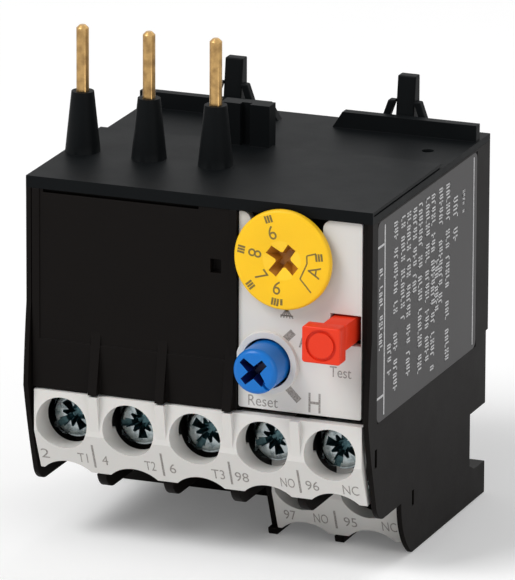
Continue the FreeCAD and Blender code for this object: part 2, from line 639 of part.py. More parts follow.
def terminal_strip(xs, x_limits, face_y, axis_z, bars, closed_wells):
    """Light strip with a round well over each screw, a wavy lower edge and tapering bars."""
    top_z = axis_z - TERMINAL_Z + FLOOR_Z - FIT
    strip = slab(strip_profile(face_y, axis_z, top_z, STRIP_THICKNESS), x_limits)
    half = WELL_R + WELL_WALL
    well_y = (face_y, face_y + WELL_DEPTH)
    behind_face = slab(strip_profile(face_y, axis_z, axis_z + half, WELL_DEPTH), x_limits)
    well_z = (axis_z - half, axis_z + half)
    wells = [box((x - half, x + half), well_y, well_z).common(behind_face) for x in xs]
    strip = join([strip] + wells + [strip_bar(x, face_y, top_z) for x in bars])
    rise = -NOSE_RUN[1] - WAVE_TOP_DROP
    wave_r = (((PITCH - WAVE_FLAT) / 2) ** 2 + rise ** 2) / (2 * rise)
    notch_y = (face_y + WELL_NOTCH_DEPTH, face_y + WELL_DEPTH)
    notch_z = (axis_z - WELL_NOTCH_DROP, axis_z + half)
    for i, x in enumerate(xs):
        strip = strip.cut(rod_y(x, axis_z, WELL_R, face_y, face_y + WELL_DEPTH))
        if i >= closed_wells:
            strip = strip.cut(box((x - half, x + WELL_NOTCH_X), notch_y, notch_z))
        wave_z = axis_z - WAVE_TOP_DROP - wave_r
        strip = strip.cut(rod_y(x, wave_z, wave_r, face_y - OVERCUT, face_y + WELL_DEPTH + OVERCUT))
    return strip.removeSplitter()


def strip_bar(x, face_y, top_z):
    """Bar that carries a cover bar on down the strip and fades out."""
    back = face_y + BAR_ROOT
    foot = top_z - BAR_FOOT_DROP
    wedge = side_profile((face_y - NOSE_BULGE, top_z), (face_y, foot), (back, foot), (back, top_z))
    return slab(wedge, (x - FIN_WIDTH / 2, x + FIN_WIDTH / 2))


def terminal_cover():
    """Upper terminal strip, five wells wide."""
    return terminal_strip(TERMINAL_XS, STRIP_X, STRIP_FACE_Y, TERMINAL_Z, FIN_XS, 1)


def lower_terminal_cover():
    """Lower terminal strip, two wells wide."""
    left = FIN_XS[TERMINALS - LOWER_TERMINALS - 1] + FIN_WIDTH / 2 + FIT
    return terminal_strip(LOWER_XS, (left, STRIP_X[1]), LOWER_FACE_Y, LOWER_Z, [], 0)


def fin(x, face_y, axis_z, back_y):
    """Partition between two terminals, with the rounded nose below the strip."""
    _, (_, foot), (through, tip) = nose_steps(face_y, axis_z)
    behind = STRIP_THICKNESS + FIT
    top_z = axis_z - TERMINAL_Z + FLOOR_Z
    outline = side_profile((face_y + behind, top_z), (face_y + behind, axis_z - STRIP_BEND),
                           (foot[0] + behind, foot[1] - FIT), (foot[0], foot[1] - FIT),
                           (through, (tip[0], max(tip[1], -HEIGHT))),
                           (back_y, max(tip[1], -HEIGHT)), (back_y, top_z))
    whole = slab(outline, (x - FIN_WIDTH / 2, x + FIN_WIDTH / 2))
    return whole.common(box((-HALF, HALF), (-DEPTH, DEPTH), (-HEIGHT, 0)))


def terminal_block():
    """Comb of partitions behind the upper strip, with its back wall."""
    wall = (CHAMBER_BACK_Y, DECK_BACK_Y)
    edge = LIP_X - FIT
    shapes = [fin(x, STRIP_FACE_Y, TERMINAL_Z, DECK_BACK_Y) for x in FIN_XS]
    shapes.append(box((-edge, edge), wall, (DECK_TIP_Z, FLOOR_Z)))
    block = join(shapes)
    lower = box((DECK_LEFT_X - FIT, HALF), (LOWER_FACE_Y - AIR, DEPTH), (-HEIGHT, LOWER_FLOOR_Z))
    return block.cut(lower).removeSplitter()


def lower_terminal_block():
    """Comb of the lower deck: its left wall, one partition and its back wall."""
    back = DECK_BACK_Y + DECK_STEP_Y
    xs = FIN_XS[TERMINALS - LOWER_TERMINALS - 1:]
    shapes = [fin(x, LOWER_FACE_Y, LOWER_Z, back) for x in xs]
    wall = (CHAMBER_BACK_Y + DECK_STEP_Y, back)
    shapes.append(box((DECK_LEFT_X, LIP_X - FIT), wall, (-HEIGHT, LOWER_FLOOR_Z)))
    return join(shapes)


def rating_label():
    """Plain label let into the right side wall."""
    label = box((HALF - LABEL_THICKNESS, HALF), LABEL_Y, LABEL_Z)
    corners = [e for e in label.Edges if abs(e.tangentAt(e.FirstParameter).x) > 0.9]
    return label.makeFillet(LABEL_CORNER, corners)


def latch(x):
    """Snap-in latch: root plate, nosed post and two splayed legs."""
    front = LATCH_FRONT_Y
    post_back = front + LATCH_POST_DEPTH
    post = side_profile((front + LATCH_NOSE, LATCH_TOP_Z), (post_back, LATCH_TOP_Z),
                        (post_back, LATCH_ROOT_Z), (front, LATCH_ROOT_Z), (front, -LID_THICKNESS))
    half = LATCH_WIDTH / 2
    plate_y = (front, front + LATCH_PLATE_DEPTH)
    shapes = [
        slab(post, (x - LATCH_POST_WIDTH / 2, x + LATCH_POST_WIDTH / 2)),
        box((x - half, x + half), plate_y, (LATCH_ROOT_Z, -LID_STEP_DROP)),
    ]
    for side in (-1, 1):
        inner = x + side * LATCH_POST_WIDTH / 2
        outer = x + side * half
        leg = [V(inner, 0, LATCH_LEG_TOP_Z), V(inner + side * LATCH_LEG, 0, LATCH_LEG_TOP_Z),
               V(outer, 0, -LID_STEP_DROP), V(outer - side * LATCH_LEG, 0, -LID_STEP_DROP)]
        solid = Part.Face(Part.makePolygon(leg + leg[:1])).extrude(V(0, LATCH_PLATE_DEPTH, 0))
        solid.translate(V(0, front, 0))
        shapes.append(solid)
    return join(shapes)


def pin_shank(x, half, start):
    """Square bar on a plug pin's axis, up to the top of its sleeve."""
    return box((x - half, x + half), (PIN_Y - half, PIN_Y + half), (start, SLEEVE_TOP_Z))


def contact_pin(x):
    """Round plug pin with a chamfered tip, a square shank and a flat lug for the heater's lead."""
    shank = pin_shank(x, PIN_SHANK_WIDTH / 2, PIN_LUG_Z[1] - PIN_SHANK_WIDTH)
    pin = rod_z(x, PIN_Y, PIN_R, SLEEVE_TOP_Z, PIN_TOP_Z - PIN_TIP)
    tip = Part.makeCone(PIN_R, PIN_R - PIN_TIP, PIN_TIP, V(x, PIN_Y, PIN_TOP_Z - PIN_TIP))
    half = PIN_LUG_THICKNESS / 2
    lug = box((x - half, x + half), (PIN_Y - PIN_SHANK_WIDTH / 2, PIN_LUG_Y), PIN_LUG_Z)
    return join([shank, pin, tip, lug])


def bimetal(x):
    """Flat bimetal strip standing on its terminal strap, narrowed where it drives the slider."""
    strip = box((x - BIMETAL_THICKNESS / 2, x + BIMETAL_THICKNESS / 2),
                (BIMETAL_Y - BIMETAL_WIDTH / 2, BIMETAL_Y + BIMETAL_WIDTH / 2), (STRAP_TOP_Z, BIMETAL_TOP_Z))
    top_edges = [e for e in strip.Edges if abs(e.CenterOfMass.z - BIMETAL_TOP_Z) < TINY and e.Length < 1]
    return strip.makeChamfer(BIMETAL_THICKNESS, top_edges)


def heater(x, pin_x):
    """Heater ribbon: flat turns round the bimetal, the top one led to the pin's lug."""
    inner = (BIMETAL_THICKNESS / 2 + HEATER_CLEAR, BIMETAL_WIDTH / 2 + HEATER_CLEAR)
    outer = (inner[0] + HEATER_SECTION, inner[1] + HEATER_SECTION)
    turns = []
    for turn in range(HEATER_TURNS):
        top = HEATER_TOP_Z - turn * HEATER_PITCH
        z = (top - HEATER_BAND, top)
        ring = box((x - outer[0], x + outer[0]), (BIMETAL_Y - outer[1], BIMETAL_Y + outer[1]), z)
        ring = ring.cut(box((x - inner[0], x + inner[0]), (BIMETAL_Y - inner[1], BIMETAL_Y + inner[1]), z))
        turns.append(ring)
        if turn:
            joggle_x = (x - HEATER_SECTION, x + HEATER_SECTION)
            joggle_y = (BIMETAL_Y + inner[1], BIMETAL_Y + outer[1])
            turns.append(box(joggle_x, joggle_y, (top, top + HEATER_PITCH - HEATER_BAND)))
    lead_x = (pin_x + PIN_LUG_THICKNESS / 2, x)
    lead_y = (PIN_LUG_Y - HEATER_SECTION, BIMETAL_Y - inner[1])
    turns.append(box(lead_x, lead_y, (PIN_LUG_Z[0], PIN_LUG_Z[0] + HEATER_BAND)))
    return join(turns)


def trip_slider():
    """Slider bar with a slot over each bimetal and a nosed right end."""
    half = SLIDER_WIDTH / 2
    nose = SLIDER_NOSE_WIDTH / 2
    shoulder_x = SLIDER_X[1] - SLIDER_NOSE_LENGTH
    bar = box((SLIDER_X[0], shoulder_x), (BIMETAL_Y - half, BIMETAL_Y + half), SLIDER_Z)
    bar = bar.fuse(box((shoulder_x, SLIDER_X[1]), (BIMETAL_Y - nose, BIMETAL_Y + nose), SLIDER_Z))
    reach = BIMETAL_THICKNESS / 2 + AIR
    slot = BIMETAL_WIDTH / 2 + AIR
    for x in TERMINAL_XS[:POLES]:
        slot_x = (x - reach - SLIDER_TRAVEL, x + reach)
        bar = bar.cut(box(slot_x, (BIMETAL_Y - slot, BIMETAL_Y + slot), SLIDER_Z))
    return bar.removeSplitter()


def main_strap(x):
    """Terminal plate with the screw's thread, and the strap that carries the bimetal."""
    back = BIMETAL_Y + BIMETAL_WIDTH / 2
    leg = bent_strap(x, STRAP_WIDTH, [(PLATE_Y, TERMINAL_Z), (PLATE_Y, STRAP_TOP_Z), (back, STRAP_TOP_Z)])
    return join([leg, terminal_plate(x, 0, 0)]).cut(screw_hole(x, 0, 0))


def terminal_plate(x, step_y, step_z):
    """Square plate that the wire is clamped against."""
    half = PLATE_SIZE / 2
    z = TERMINAL_Z + step_z
    y = (PLATE_Y + step_y, PLATE_Y + step_y + PLATE_THICKNESS)
    return chamfered_box((x - half, x + half), y, (z - half, z + half), CLAMP_CORNER)


def screw_hole(x, step_y, step_z):
    """Cutter for the terminal screw in its plate."""
    start = PLATE_Y + step_y - OVERCUT
    return rod_y(x, TERMINAL_Z + step_z, SCREW_R + RUNNING, start, CHAMBER_BACK_Y + step_y)


def bent_strap(x, width, path):
    """Flat strap bent along a path of (y, top z) corners, lying behind and below them."""
    legs = []
    for (y0, z0), (y1, z1) in zip(path, path[1:]):
        y = (min(y0, y1), max(y0, y1) + STRAP_THICKNESS)
        z = (min(z0, z1) - STRAP_THICKNESS, max(z0, z1))
        legs.append(box((x - width / 2, x + width / 2), y, z))
    return join(legs)


def contact_strap(x, offset, step_y, step_z, rise_y):
    """Control terminal: plate, strap under the mechanism and fixed contact on its upright end."""
    top = BRIDGE_Z + BRIDGE_HEIGHT / 2
    foot_y = PLATE_Y + step_y
    path = [(foot_y, TERMINAL_Z + step_z), (foot_y, STRAP_TOP_Z), (rise_y, STRAP_TOP_Z), (rise_y, top)]
    strap = bent_strap(x + offset, CONTACT_STRAP_WIDTH, path)
    return join([strap, terminal_plate(x, step_y, step_z)]).cut(screw_hole(x, step_y, step_z))


def opener_strap_upper():
    """Fixed contact of the opener, from the upper deck."""
    strap = contact_strap(LOWER_XS[1], -CONTACT_SPREAD, 0, 0, OPENER_Y)
    return with_contact(strap, LOWER_XS[1] - CONTACT_SPREAD, OPENER_Y - CONTACT_HEIGHT)


def opener_strap_lower():
    """Fixed contact of the opener, from the lower deck."""
    strap = contact_strap(LOWER_XS[1], CONTACT_SPREAD, DECK_STEP_Y, DECK_STEP_Z, OPENER_Y)
    return with_contact(strap, LOWER_XS[1] + CONTACT_SPREAD, OPENER_Y - CONTACT_HEIGHT)


def closer_strap_upper():
    """Fixed contact of the closer, from the upper deck."""
    strap = contact_strap(LOWER_XS[0], -CONTACT_SPREAD, 0, 0, CLOSER_Y)
    return with_contact(strap, LOWER_XS[0] - CONTACT_SPREAD, CLOSER_Y + STRAP_THICKNESS)


def closer_strap_lower():
    """Fixed contact of the closer, from the lower deck."""
    strap = contact_strap(LOWER_XS[0], CONTACT_SPREAD, DECK_STEP_Y, DECK_STEP_Z, CLOSER_Y)
    return with_contact(strap, LOWER_XS[0] + CONTACT_SPREAD, CLOSER_Y + STRAP_THICKNESS)


def contact_tip(x, y):
    """Square contact tip with its face along y."""
    half = CONTACT_SIZE / 2
    return box((x - half, x + half), (y, y + CONTACT_HEIGHT), (BRIDGE_Z - half, BRIDGE_Z + half))


def with_contact(strap, x, y):
    """Strap with its contact tip on the face at y."""
    return strap.fuse(contact_tip(x, y)).removeSplitter()


def contact_bridge(x, y, tip_y):
    """Moving bridge with a contact tip at each end."""
    reach = CONTACT_SPREAD + CONTACT_STRAP_WIDTH / 2
    z = (BRIDGE_Z - BRIDGE_HEIGHT / 2, BRIDGE_Z + BRIDGE_HEIGHT / 2)
    plate = box((x - reach, x + reach), (y, y + BRIDGE_THICKNESS), z)
    return join([plate] + [contact_tip(x + side * CONTACT_SPREAD, tip_y) for side in (-1, 1)])


def opener_bridge():
    """Bridge behind the rocker, closed at rest."""
    y = ROCKER_Y + ROCKER_THICKNESS / 2
    return contact_bridge(LOWER_XS[1], y, y + BRIDGE_THICKNESS)


def closer_bridge():
    """Bridge in front of the rocker, closed when the relay has tripped."""
    y = ROCKER_Y - ROCKER_THICKNESS / 2 - BRIDGE_THICKNESS
    return contact_bridge(LOWER_XS[0], y, y - CONTACT_HEIGHT)


def terminal_screw(x, step_y, step_z):
    """Clamp screw: slotted head and plain shank."""
    y = HEAD_FRONT_Y + step_y
    z = TERMINAL_Z + step_z
    head = rod_y(x, z, HEAD_R, y, y + HEAD_THICKNESS)
    half = SCREW_SLOT_WIDTH / 2
    slot = box((x - HEAD_R, x + HEAD_R), (y, y + SCREW_SLOT_DEPTH), (z - half, z + half))
    shank = rod_y(x, z, SCREW_R, y + HEAD_THICKNESS, y + SCREW_LENGTH)
    return head.cut(slot).fuse(shank).removeSplitter()


def screw_clamp(x, step_y, step_z):
    """Square pressure plate with a square hole, carried by the screw, with lips along its sides."""
    y = CLAMP_Y + step_y
    z = TERMINAL_Z + step_z
    half = CLAMP_SIZE / 2
    plate = chamfered_box((x - half, x + half), (y, y + CLAMP_THICKNESS), (z - half, z + half), CLAMP_CORNER)
    lip_y = (y - CLAMP_LIP, y + CLAMP_THICKNESS)
    lip_z = (z - half + CLAMP_CORNER, z + half - CLAMP_CORNER)
    lip = CLAMP_LIP / 2
    lips = [box((edge - lip, edge + lip), lip_y, lip_z) for edge in (x - half, x + half)]
    hole = SCREW_R + RUNNING
    punch = box((x - hole, x + hole), lip_y, (z - hole, z + hole))
    return join([plate] + lips).cut(punch)


def setting_dial():
    """Dial disc with a sunk screwdriver cross, hub and spindle."""
    disc = rod_y(DIAL_X, DIAL_Z, DIAL_R, DIAL_FRONT_Y, -DIAL_GAP)
    sink = rod_y(DIAL_X, DIAL_Z, DIAL_SINK_R, DIAL_FRONT_Y, DIAL_FRONT_Y + DIAL_SINK_DEPTH)
    hub = rod_y(DIAL_X, DIAL_Z, HUB_R, -DIAL_GAP, PANEL_BACK_Y - AIR)
    spindle = rod_y(DIAL_X, DIAL_Z, SPINDLE_R, -DIAL_GAP, SPINDLE_END_Y)
    drive_y = (DIAL_FRONT_Y, DIAL_FRONT_Y + DRIVE_DEPTH)
    drive = cross(DIAL_X, DIAL_Z, DIAL_DRIVE_R, DRIVE_WIDTH, drive_y, DIAL_DRIVE_ANGLE)
    return join([disc, hub, spindle]).cut(sink).cut(drive).removeSplitter()


def cam_point(radius, angle):
    """Point on the cam's front face."""
    return V(DIAL_X + radius * math.cos(angle), CAM_Y, DIAL_Z + radius * math.sin(angle))


def setting_cam():
    """Spiral cam pressed on the spindle; its radius grows evenly over the dial's travel."""
    points = []
    for step in range(CAM_STEPS + 1):
        share = step / CAM_STEPS
        angle = -math.radians(share * DIAL_TRAVEL)
        radius = CAM_START_R + CAM_RISE * share
        points.append(cam_point(radius, angle))
    spiral = Part.BSplineCurve()
    spiral.interpolate(points)
    end_angle = -math.radians(DIAL_TRAVEL)
    far = CAM_START_R + CAM_RISE
    back_angle = end_angle / 2 - math.pi
    through = cam_point(CAM_START_R, back_angle)
    shoulder = cam_point(CAM_START_R, end_angle)
    edges = [
        spiral.toShape(),
        Part.LineSegment(points[-1], shoulder).toShape(),
        Part.Arc(shoulder, through, points[0]).toShape(),
    ]
    cam = Part.Face(Part.Wire(edges)).extrude(V(0, CAM_THICKNESS, 0))
    return cam.cut(rod_y(DIAL_X, DIAL_Z, SPINDLE_R, CAM_Y - far, SPINDLE_END_Y + far))


def adjusting_lever():
    """Lever that follows the cam and shifts the tripping point."""
    half = ADJUSTER_WIDTH / 2
    y = (CAM_Y, CAM_Y + CAM_THICKNESS - AIR)
    hub = rod_y(ADJUSTER_X, ADJUSTER_Z, ADJUSTER_R, *y)
    arm = box((ADJUSTER_X - half, ADJUSTER_X + half), y, (ADJUSTER_Z, DIAL_Z))
    nose = rod_y(ADJUSTER_X, DIAL_Z, half, *y)
    return join([hub, arm, nose]).cut(rod_y(ADJUSTER_X, ADJUSTER_Z, ADJUSTER_PIN_R + RUNNING, *y))


def reset_button():
    """Blue knob with a screwdriver cross and pointer groove, keyed shaft and spring collar."""
    head = rod_y(RESET_X, RESET_Z, RESET_R, RESET_FRONT_Y, RESET_HEAD_END_Y)
    rim = [e for e in head.Edges if abs(e.CenterOfMass.y - RESET_FRONT_Y) < TINY and len(e.Vertexes) == 1]
    head = head.makeChamfer(RESET_RIM_BEVEL, rim)
    shaft = rod_y(RESET_X, RESET_Z, RESET_SHAFT_R, RESET_HEAD_END_Y, RESET_END_Y)
    collar = rod_y(RESET_X, RESET_Z, RESET_R, RESET_COLLAR_Y, RESET_COLLAR_Y + RESET_COLLAR_THICKNESS)
    key = box((RESET_X - KEY_WIDTH / 2, RESET_X + KEY_WIDTH / 2), (RESET_HEAD_END_Y, RESET_COLLAR_Y),
              (RESET_Z, RESET_Z + RESET_SHAFT_R + KEY_HEIGHT))
    button = join([head, shaft, collar, key])
    drive_y = (RESET_FRONT_Y, RESET_FRONT_Y + RESET_DRIVE_DEPTH)
    button = button.cut(cross(RESET_X, RESET_Z, RESET_DRIVE_R, DRIVE_WIDTH, drive_y, RESET_REST_ANGLE))
    half = POINTER_WIDTH / 2
    pointer = box((0, RESET_R), (RESET_FRONT_Y, RESET_FRONT_Y + RESET_RIM_BEVEL), (-half, half))
    pointer.rotate(V(0, 0, 0), V(0, 1, 0), -RESET_REST_ANGLE)
    pointer.translate(V(RESET_X, 0, RESET_Z))
    return button.cut(pointer).removeSplitter()


def reset_sleeve():
    """Keyed sleeve that the knob turns between hand and automatic reset."""
    end = RESET_SLEEVE_Y + SLEEVE_LENGTH
    ring = rod_y(RESET_X, RESET_Z, SLEEVE_R, RESET_SLEEVE_Y, end)
    ring = ring.cut(rod_y(RESET_X, RESET_Z, RESET_SHAFT_R + RUNNING, RESET_SLEEVE_Y, end))
    half = KEY_WIDTH / 2 + RUNNING
    top = RESET_Z + RESET_SHAFT_R + KEY_HEIGHT + RUNNING
    keyway = box((RESET_X - half, RESET_X + half), (RESET_SLEEVE_Y, end), (RESET_Z, top))
    return ring.cut(keyway)


def test_button():
    """Red head with a ring groove, square stem and push rod."""
    y = TEST_FRONT_Y + TEST_HEAD_THICKNESS
    head = rounded_box(TEST_HEAD_X, (TEST_FRONT_Y, y), TEST_HEAD_Z, TEST_CORNER)
    middle_x = sum(TEST_HEAD_X) / 2
    middle_z = sum(TEST_HEAD_Z) / 2
    ring_y = (TEST_FRONT_Y, TEST_FRONT_Y + TEST_RING_DEPTH)
    ring = rod_y(middle_x, middle_z, TEST_RING_R, *ring_y)
    island = rod_y(middle_x, middle_z, TEST_RING_R - TEST_RING_WIDTH, *ring_y)
    head = head.cut(ring.cut(island))
    stem = box(TEST_STEM_X, (y, TEST_SHOULDER_Y), TEST_STEM_Z)
    return join([head, stem, square_rod(TEST_ROD_WIDTH / 2, (TEST_SHOULDER_Y, TEST_END_Y))])


def square_rod(half, y):
    """Square bar on the axis of the test button's push rod."""
    return box((TEST_ROD_X - half, TEST_ROD_X + half), y, (TEST_ROD_Z - half, TEST_ROD_Z + half))


def reset_spring():
    """Return spring of the reset button."""
    start = RESET_COLLAR_Y + RESET_COLLAR_THICKNESS + SPRING_SLACK
    return spring_y(RESET_X, RESET_Z, RESET_SHAFT_R + SPRING_WIRE, start, GUIDE_Y - SPRING_SLACK)


def test_spring():
    """Return spring of the test button."""
    radius = TEST_ROD_WIDTH / math.sqrt(2) + SPRING_WIRE
    return spring_y(TEST_ROD_X, TEST_ROD_Z, radius, TEST_SHOULDER_Y + SPRING_SLACK, GUIDE_Y - SPRING_SLACK)


def mechanism_frame():
    """Frame that guides both buttons and carries the rocker and the crank lever."""
    guide = box(FRAME_X, (GUIDE_Y, GUIDE_Y + FRAME_THICKNESS), (FRAME_FOOT_Z, SHELF_Z))
    shelf = box(FRAME_X, (GUIDE_Y, FRAME_BACK_Y), (SHELF_Z - SHELF_THICKNESS, SHELF_Z))
    back = box(FRAME_X, (FRAME_BACK_Y - FRAME_THICKNESS, FRAME_BACK_Y), (FLOOR_TOP_Z, SHELF_Z))
    ears = []
    for x in ((FRAME_X[0], FRAME_X[0] + FRAME_THICKNESS), (FRAME_X[1] - FRAME_THICKNESS, FRAME_X[1])):
        ears.append(box(x, (ROCKER_Y - ROCKER_HUB_R, FRAME_BACK_Y), (ROCKER_Z - ROCKER_HUB_R, SHELF_Z)))
    frame = join([guide, shelf, back] + ears)
    swing = ROCKER_THICKNESS + SLIDER_TRAVEL
    gap_x = (FRAME_X[0] + FRAME_THICKNESS, FRAME_X[1] - FRAME_THICKNESS)
    frame = frame.cut(box(gap_x, (ROCKER_Y - swing, ROCKER_Y + swing), (SHELF_Z - SHELF_THICKNESS, SHELF_Z)))
    frame = frame.cut(rod_x(ROCKER_Y, ROCKER_Z, ROCKER_PIN_R, *FRAME_X))
    frame = frame.cut(rod_z(CRANK_X, CRANK_Y, CRANK_PIN_R, SHELF_Z - SHELF_THICKNESS, SHELF_Z))
    guide_y = (GUIDE_Y, GUIDE_Y + FRAME_THICKNESS)
    frame = frame.cut(rod_y(RESET_X, RESET_Z, RESET_SHAFT_R + RUNNING, *guide_y))
    return frame.cut(square_rod(TEST_ROD_WIDTH / 2 + RUNNING, guide_y)).removeSplitter()


def rocker_pin():
    """Pin across the frame that the contact rocker turns on."""
    return rod_x(ROCKER_Y, ROCKER_Z, ROCKER_PIN_R, *FRAME_X)


def crank_pin():
    """Upright pin of the crank lever."""
    return rod_z(CRANK_X, CRANK_Y, CRANK_PIN_R, SHELF_Z - SHELF_THICKNESS, CRANK_TOP_Z)


def crank_lever():
    """Compensating crank: the slider pushes its arm, its other arm pushes the rocker."""
    half = CRANK_ARM_WIDTH / 2
    z = (CRANK_TOP_Z - CRANK_HEIGHT, CRANK_TOP_Z)
    arm_x = SLIDER_X[1] + AIR
    hub = rod_z(CRANK_X, CRANK_Y, CRANK_HUB_R, SHELF_Z + AIR, CRANK_TOP_Z)
    arm = box((arm_x, arm_x + CRANK_ARM_WIDTH), (CRANK_Y - CRANK_ARM, CRANK_Y), z)
    reach = box((CRANK_X, CRANK_X + CRANK_REACH + half), (CRANK_Y - half, CRANK_Y + half), z)
    bore = rod_z(CRANK_X, CRANK_Y, CRANK_PIN_R + RUNNING, SHELF_Z, CRANK_TOP_Z)
    return join([hub, arm, reach]).cut(bore)


def contact_rocker():
    """Rocker that carries both contact bridges, with the pad that the crank pushes."""
    half = ROCKER_THICKNESS / 2
    plate = box(ROCKER_X, (ROCKER_Y - half, ROCKER_Y + half), (ROCKER_BOTTOM_Z, ROCKER_TOP_Z))
    hub = rod_x(ROCKER_Y, ROCKER_Z, ROCKER_HUB_R, *ROCKER_X)
    pad_x = CRANK_X + CRANK_REACH
    pad_y = (CRANK_Y + CRANK_ARM_WIDTH / 2 + AIR, ROCKER_Y)
    pad = box((pad_x - half, pad_x + half), pad_y, (CRANK_TOP_Z - CRANK_HEIGHT, CRANK_TOP_Z))
    margin = ROCKER_THICKNESS
    window_x = (ROCKER_X[0] + margin, pad_x - 2 * half)
    window = box(window_x, (ROCKER_Y - half, ROCKER_Y + half), ROCKER_WINDOW_Z)
    rocker = join([plate, hub, pad]).cut(window)
    return rocker.cut(rod_x(ROCKER_Y, ROCKER_Z, ROCKER_PIN_R + RUNNING, *ROCKER_X))


def build():
    """All nodes by name."""
    nodes = {
        "housing_body": housing_body(),
        "top_cover": top_cover(),
        "front_cover": front_cover(),
        "control_panel": control_panel(),
        "terminal_cover": terminal_cover(),
        "lower_terminal_cover": lower_terminal_cover(),
        "terminal_block": terminal_block(),
        "lower_terminal_block": lower_terminal_block(),
        "rating_label": rating_label(),
        "trip_slider": trip_slider(),
        "opener_strap_upper": opener_strap_upper(),
        "opener_strap_lower": opener_strap_lower(),
        "closer_strap_upper": closer_strap_upper(),
        "closer_strap_lower": closer_strap_lower(),
        "opener_bridge": opener_bridge(),
        "closer_bridge": closer_bridge(),
        "setting_dial": setting_dial(),
        "setting_cam": setting_cam(),
        "adjusting_lever": adjusting_lever(),
        "reset_button": reset_button(),
        "reset_sleeve": reset_sleeve(),
        "reset_spring": reset_spring(),
        "test_button": test_button(),
        "test_spring": test_spring(),
        "mechanism_frame": mechanism_frame(),
        "rocker_pin": rocker_pin(),
        "crank_pin": crank_pin(),
        "crank_lever": crank_lever(),
        "contact_rocker": contact_rocker(),
    }
    for side, x in zip(("left", "right"), LATCH_X):
        nodes["latch_" + side] = latch(x)
    for i in range(POLES):
        nodes[f"contact_pin_{i + 1}"] = contact_pin(PIN_XS[i])
        nodes[f"bimetal_{i + 1}"] = bimetal(TERMINAL_XS[i])
        nodes[f"heater_{i + 1}"] = heater(TERMINAL_XS[i], PIN_XS[i])
        nodes[f"main_strap_{i + 1}"] = main_strap(TERMINAL_XS[i])
    for i, (x, step_y, step_z) in enumerate(SCREW_PLACES):
        nodes[f"terminal_screw_{i + 1}"] = terminal_screw(x, step_y, step_z)
        nodes[f"screw_clamp_{i + 1}"] = screw_clamp(x, step_y, step_z)
    return nodes


def export():
    """Write each node's STEP file, moved to the relay's own origin."""
    os.makedirs("parts", exist_ok=True)
    for name, shape in build().items():
        shape.translate(ORIGIN)
        shape.exportStep("parts/" + name + ".step")


if __name__ == "__main__":
    export()
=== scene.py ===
"""Looks of a thermal overload relay that plugs into the underside of a contactor.

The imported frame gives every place: a piece is put where its CAD node lies, and the sizes that are
written here, in millimetres, are those of detail that only this file makes. Blender's own unit is
the metre, so lengths are multiplied by MM where they enter a mesh.
"""

import json
import logging
import math
from dataclasses import dataclass, field
from enum import Enum
from typing import Sequence, Union

import bmesh
import bpy
from mathutils import Matrix, Vector

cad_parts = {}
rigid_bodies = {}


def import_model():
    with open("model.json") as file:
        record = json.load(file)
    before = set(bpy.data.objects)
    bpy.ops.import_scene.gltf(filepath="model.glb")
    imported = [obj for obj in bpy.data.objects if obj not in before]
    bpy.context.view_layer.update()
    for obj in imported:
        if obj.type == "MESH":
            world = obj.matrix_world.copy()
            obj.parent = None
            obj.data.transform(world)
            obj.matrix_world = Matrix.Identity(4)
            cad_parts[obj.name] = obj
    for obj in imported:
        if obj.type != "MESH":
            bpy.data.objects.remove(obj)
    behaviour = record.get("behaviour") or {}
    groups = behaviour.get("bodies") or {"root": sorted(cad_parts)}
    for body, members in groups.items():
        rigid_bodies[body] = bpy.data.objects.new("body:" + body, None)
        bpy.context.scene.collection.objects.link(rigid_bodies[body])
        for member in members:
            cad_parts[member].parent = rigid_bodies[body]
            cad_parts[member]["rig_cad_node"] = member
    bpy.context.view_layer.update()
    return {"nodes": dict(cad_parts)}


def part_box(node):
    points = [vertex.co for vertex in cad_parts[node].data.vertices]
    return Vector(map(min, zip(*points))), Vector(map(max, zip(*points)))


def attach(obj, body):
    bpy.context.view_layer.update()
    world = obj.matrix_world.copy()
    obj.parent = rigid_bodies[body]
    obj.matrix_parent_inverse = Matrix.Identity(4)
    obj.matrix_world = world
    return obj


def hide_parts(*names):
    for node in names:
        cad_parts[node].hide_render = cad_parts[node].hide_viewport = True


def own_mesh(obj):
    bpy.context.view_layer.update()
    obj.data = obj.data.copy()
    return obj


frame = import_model()
MM = 0.001
PLASTIC_IOR = 1.5
NOISE_MIDDLE = 0.5

log = logging.getLogger("relay")

Thing = bpy.types.Object
Pair = tuple[float, float]
Triple = tuple[float, float, float]
Colour = Triple
Operand = Union["Value", float]
Section = Sequence[Pair]


class Facing(Enum):
    """Side of the relay that a printed mark is read from."""

    FRONT = "front"
    RIGHT = "right"


class Lay(Enum):
    """Direction that the marks of drawing or rolling run in."""

    UPRIGHT = (1.0, 1.0, 0.06)
    SIDEWAYS = (0.06, 1.0, 1.0)
    EVEN = (1.0, 1.0, 1.0)


# ---------------------------------------------------------------- shader maths


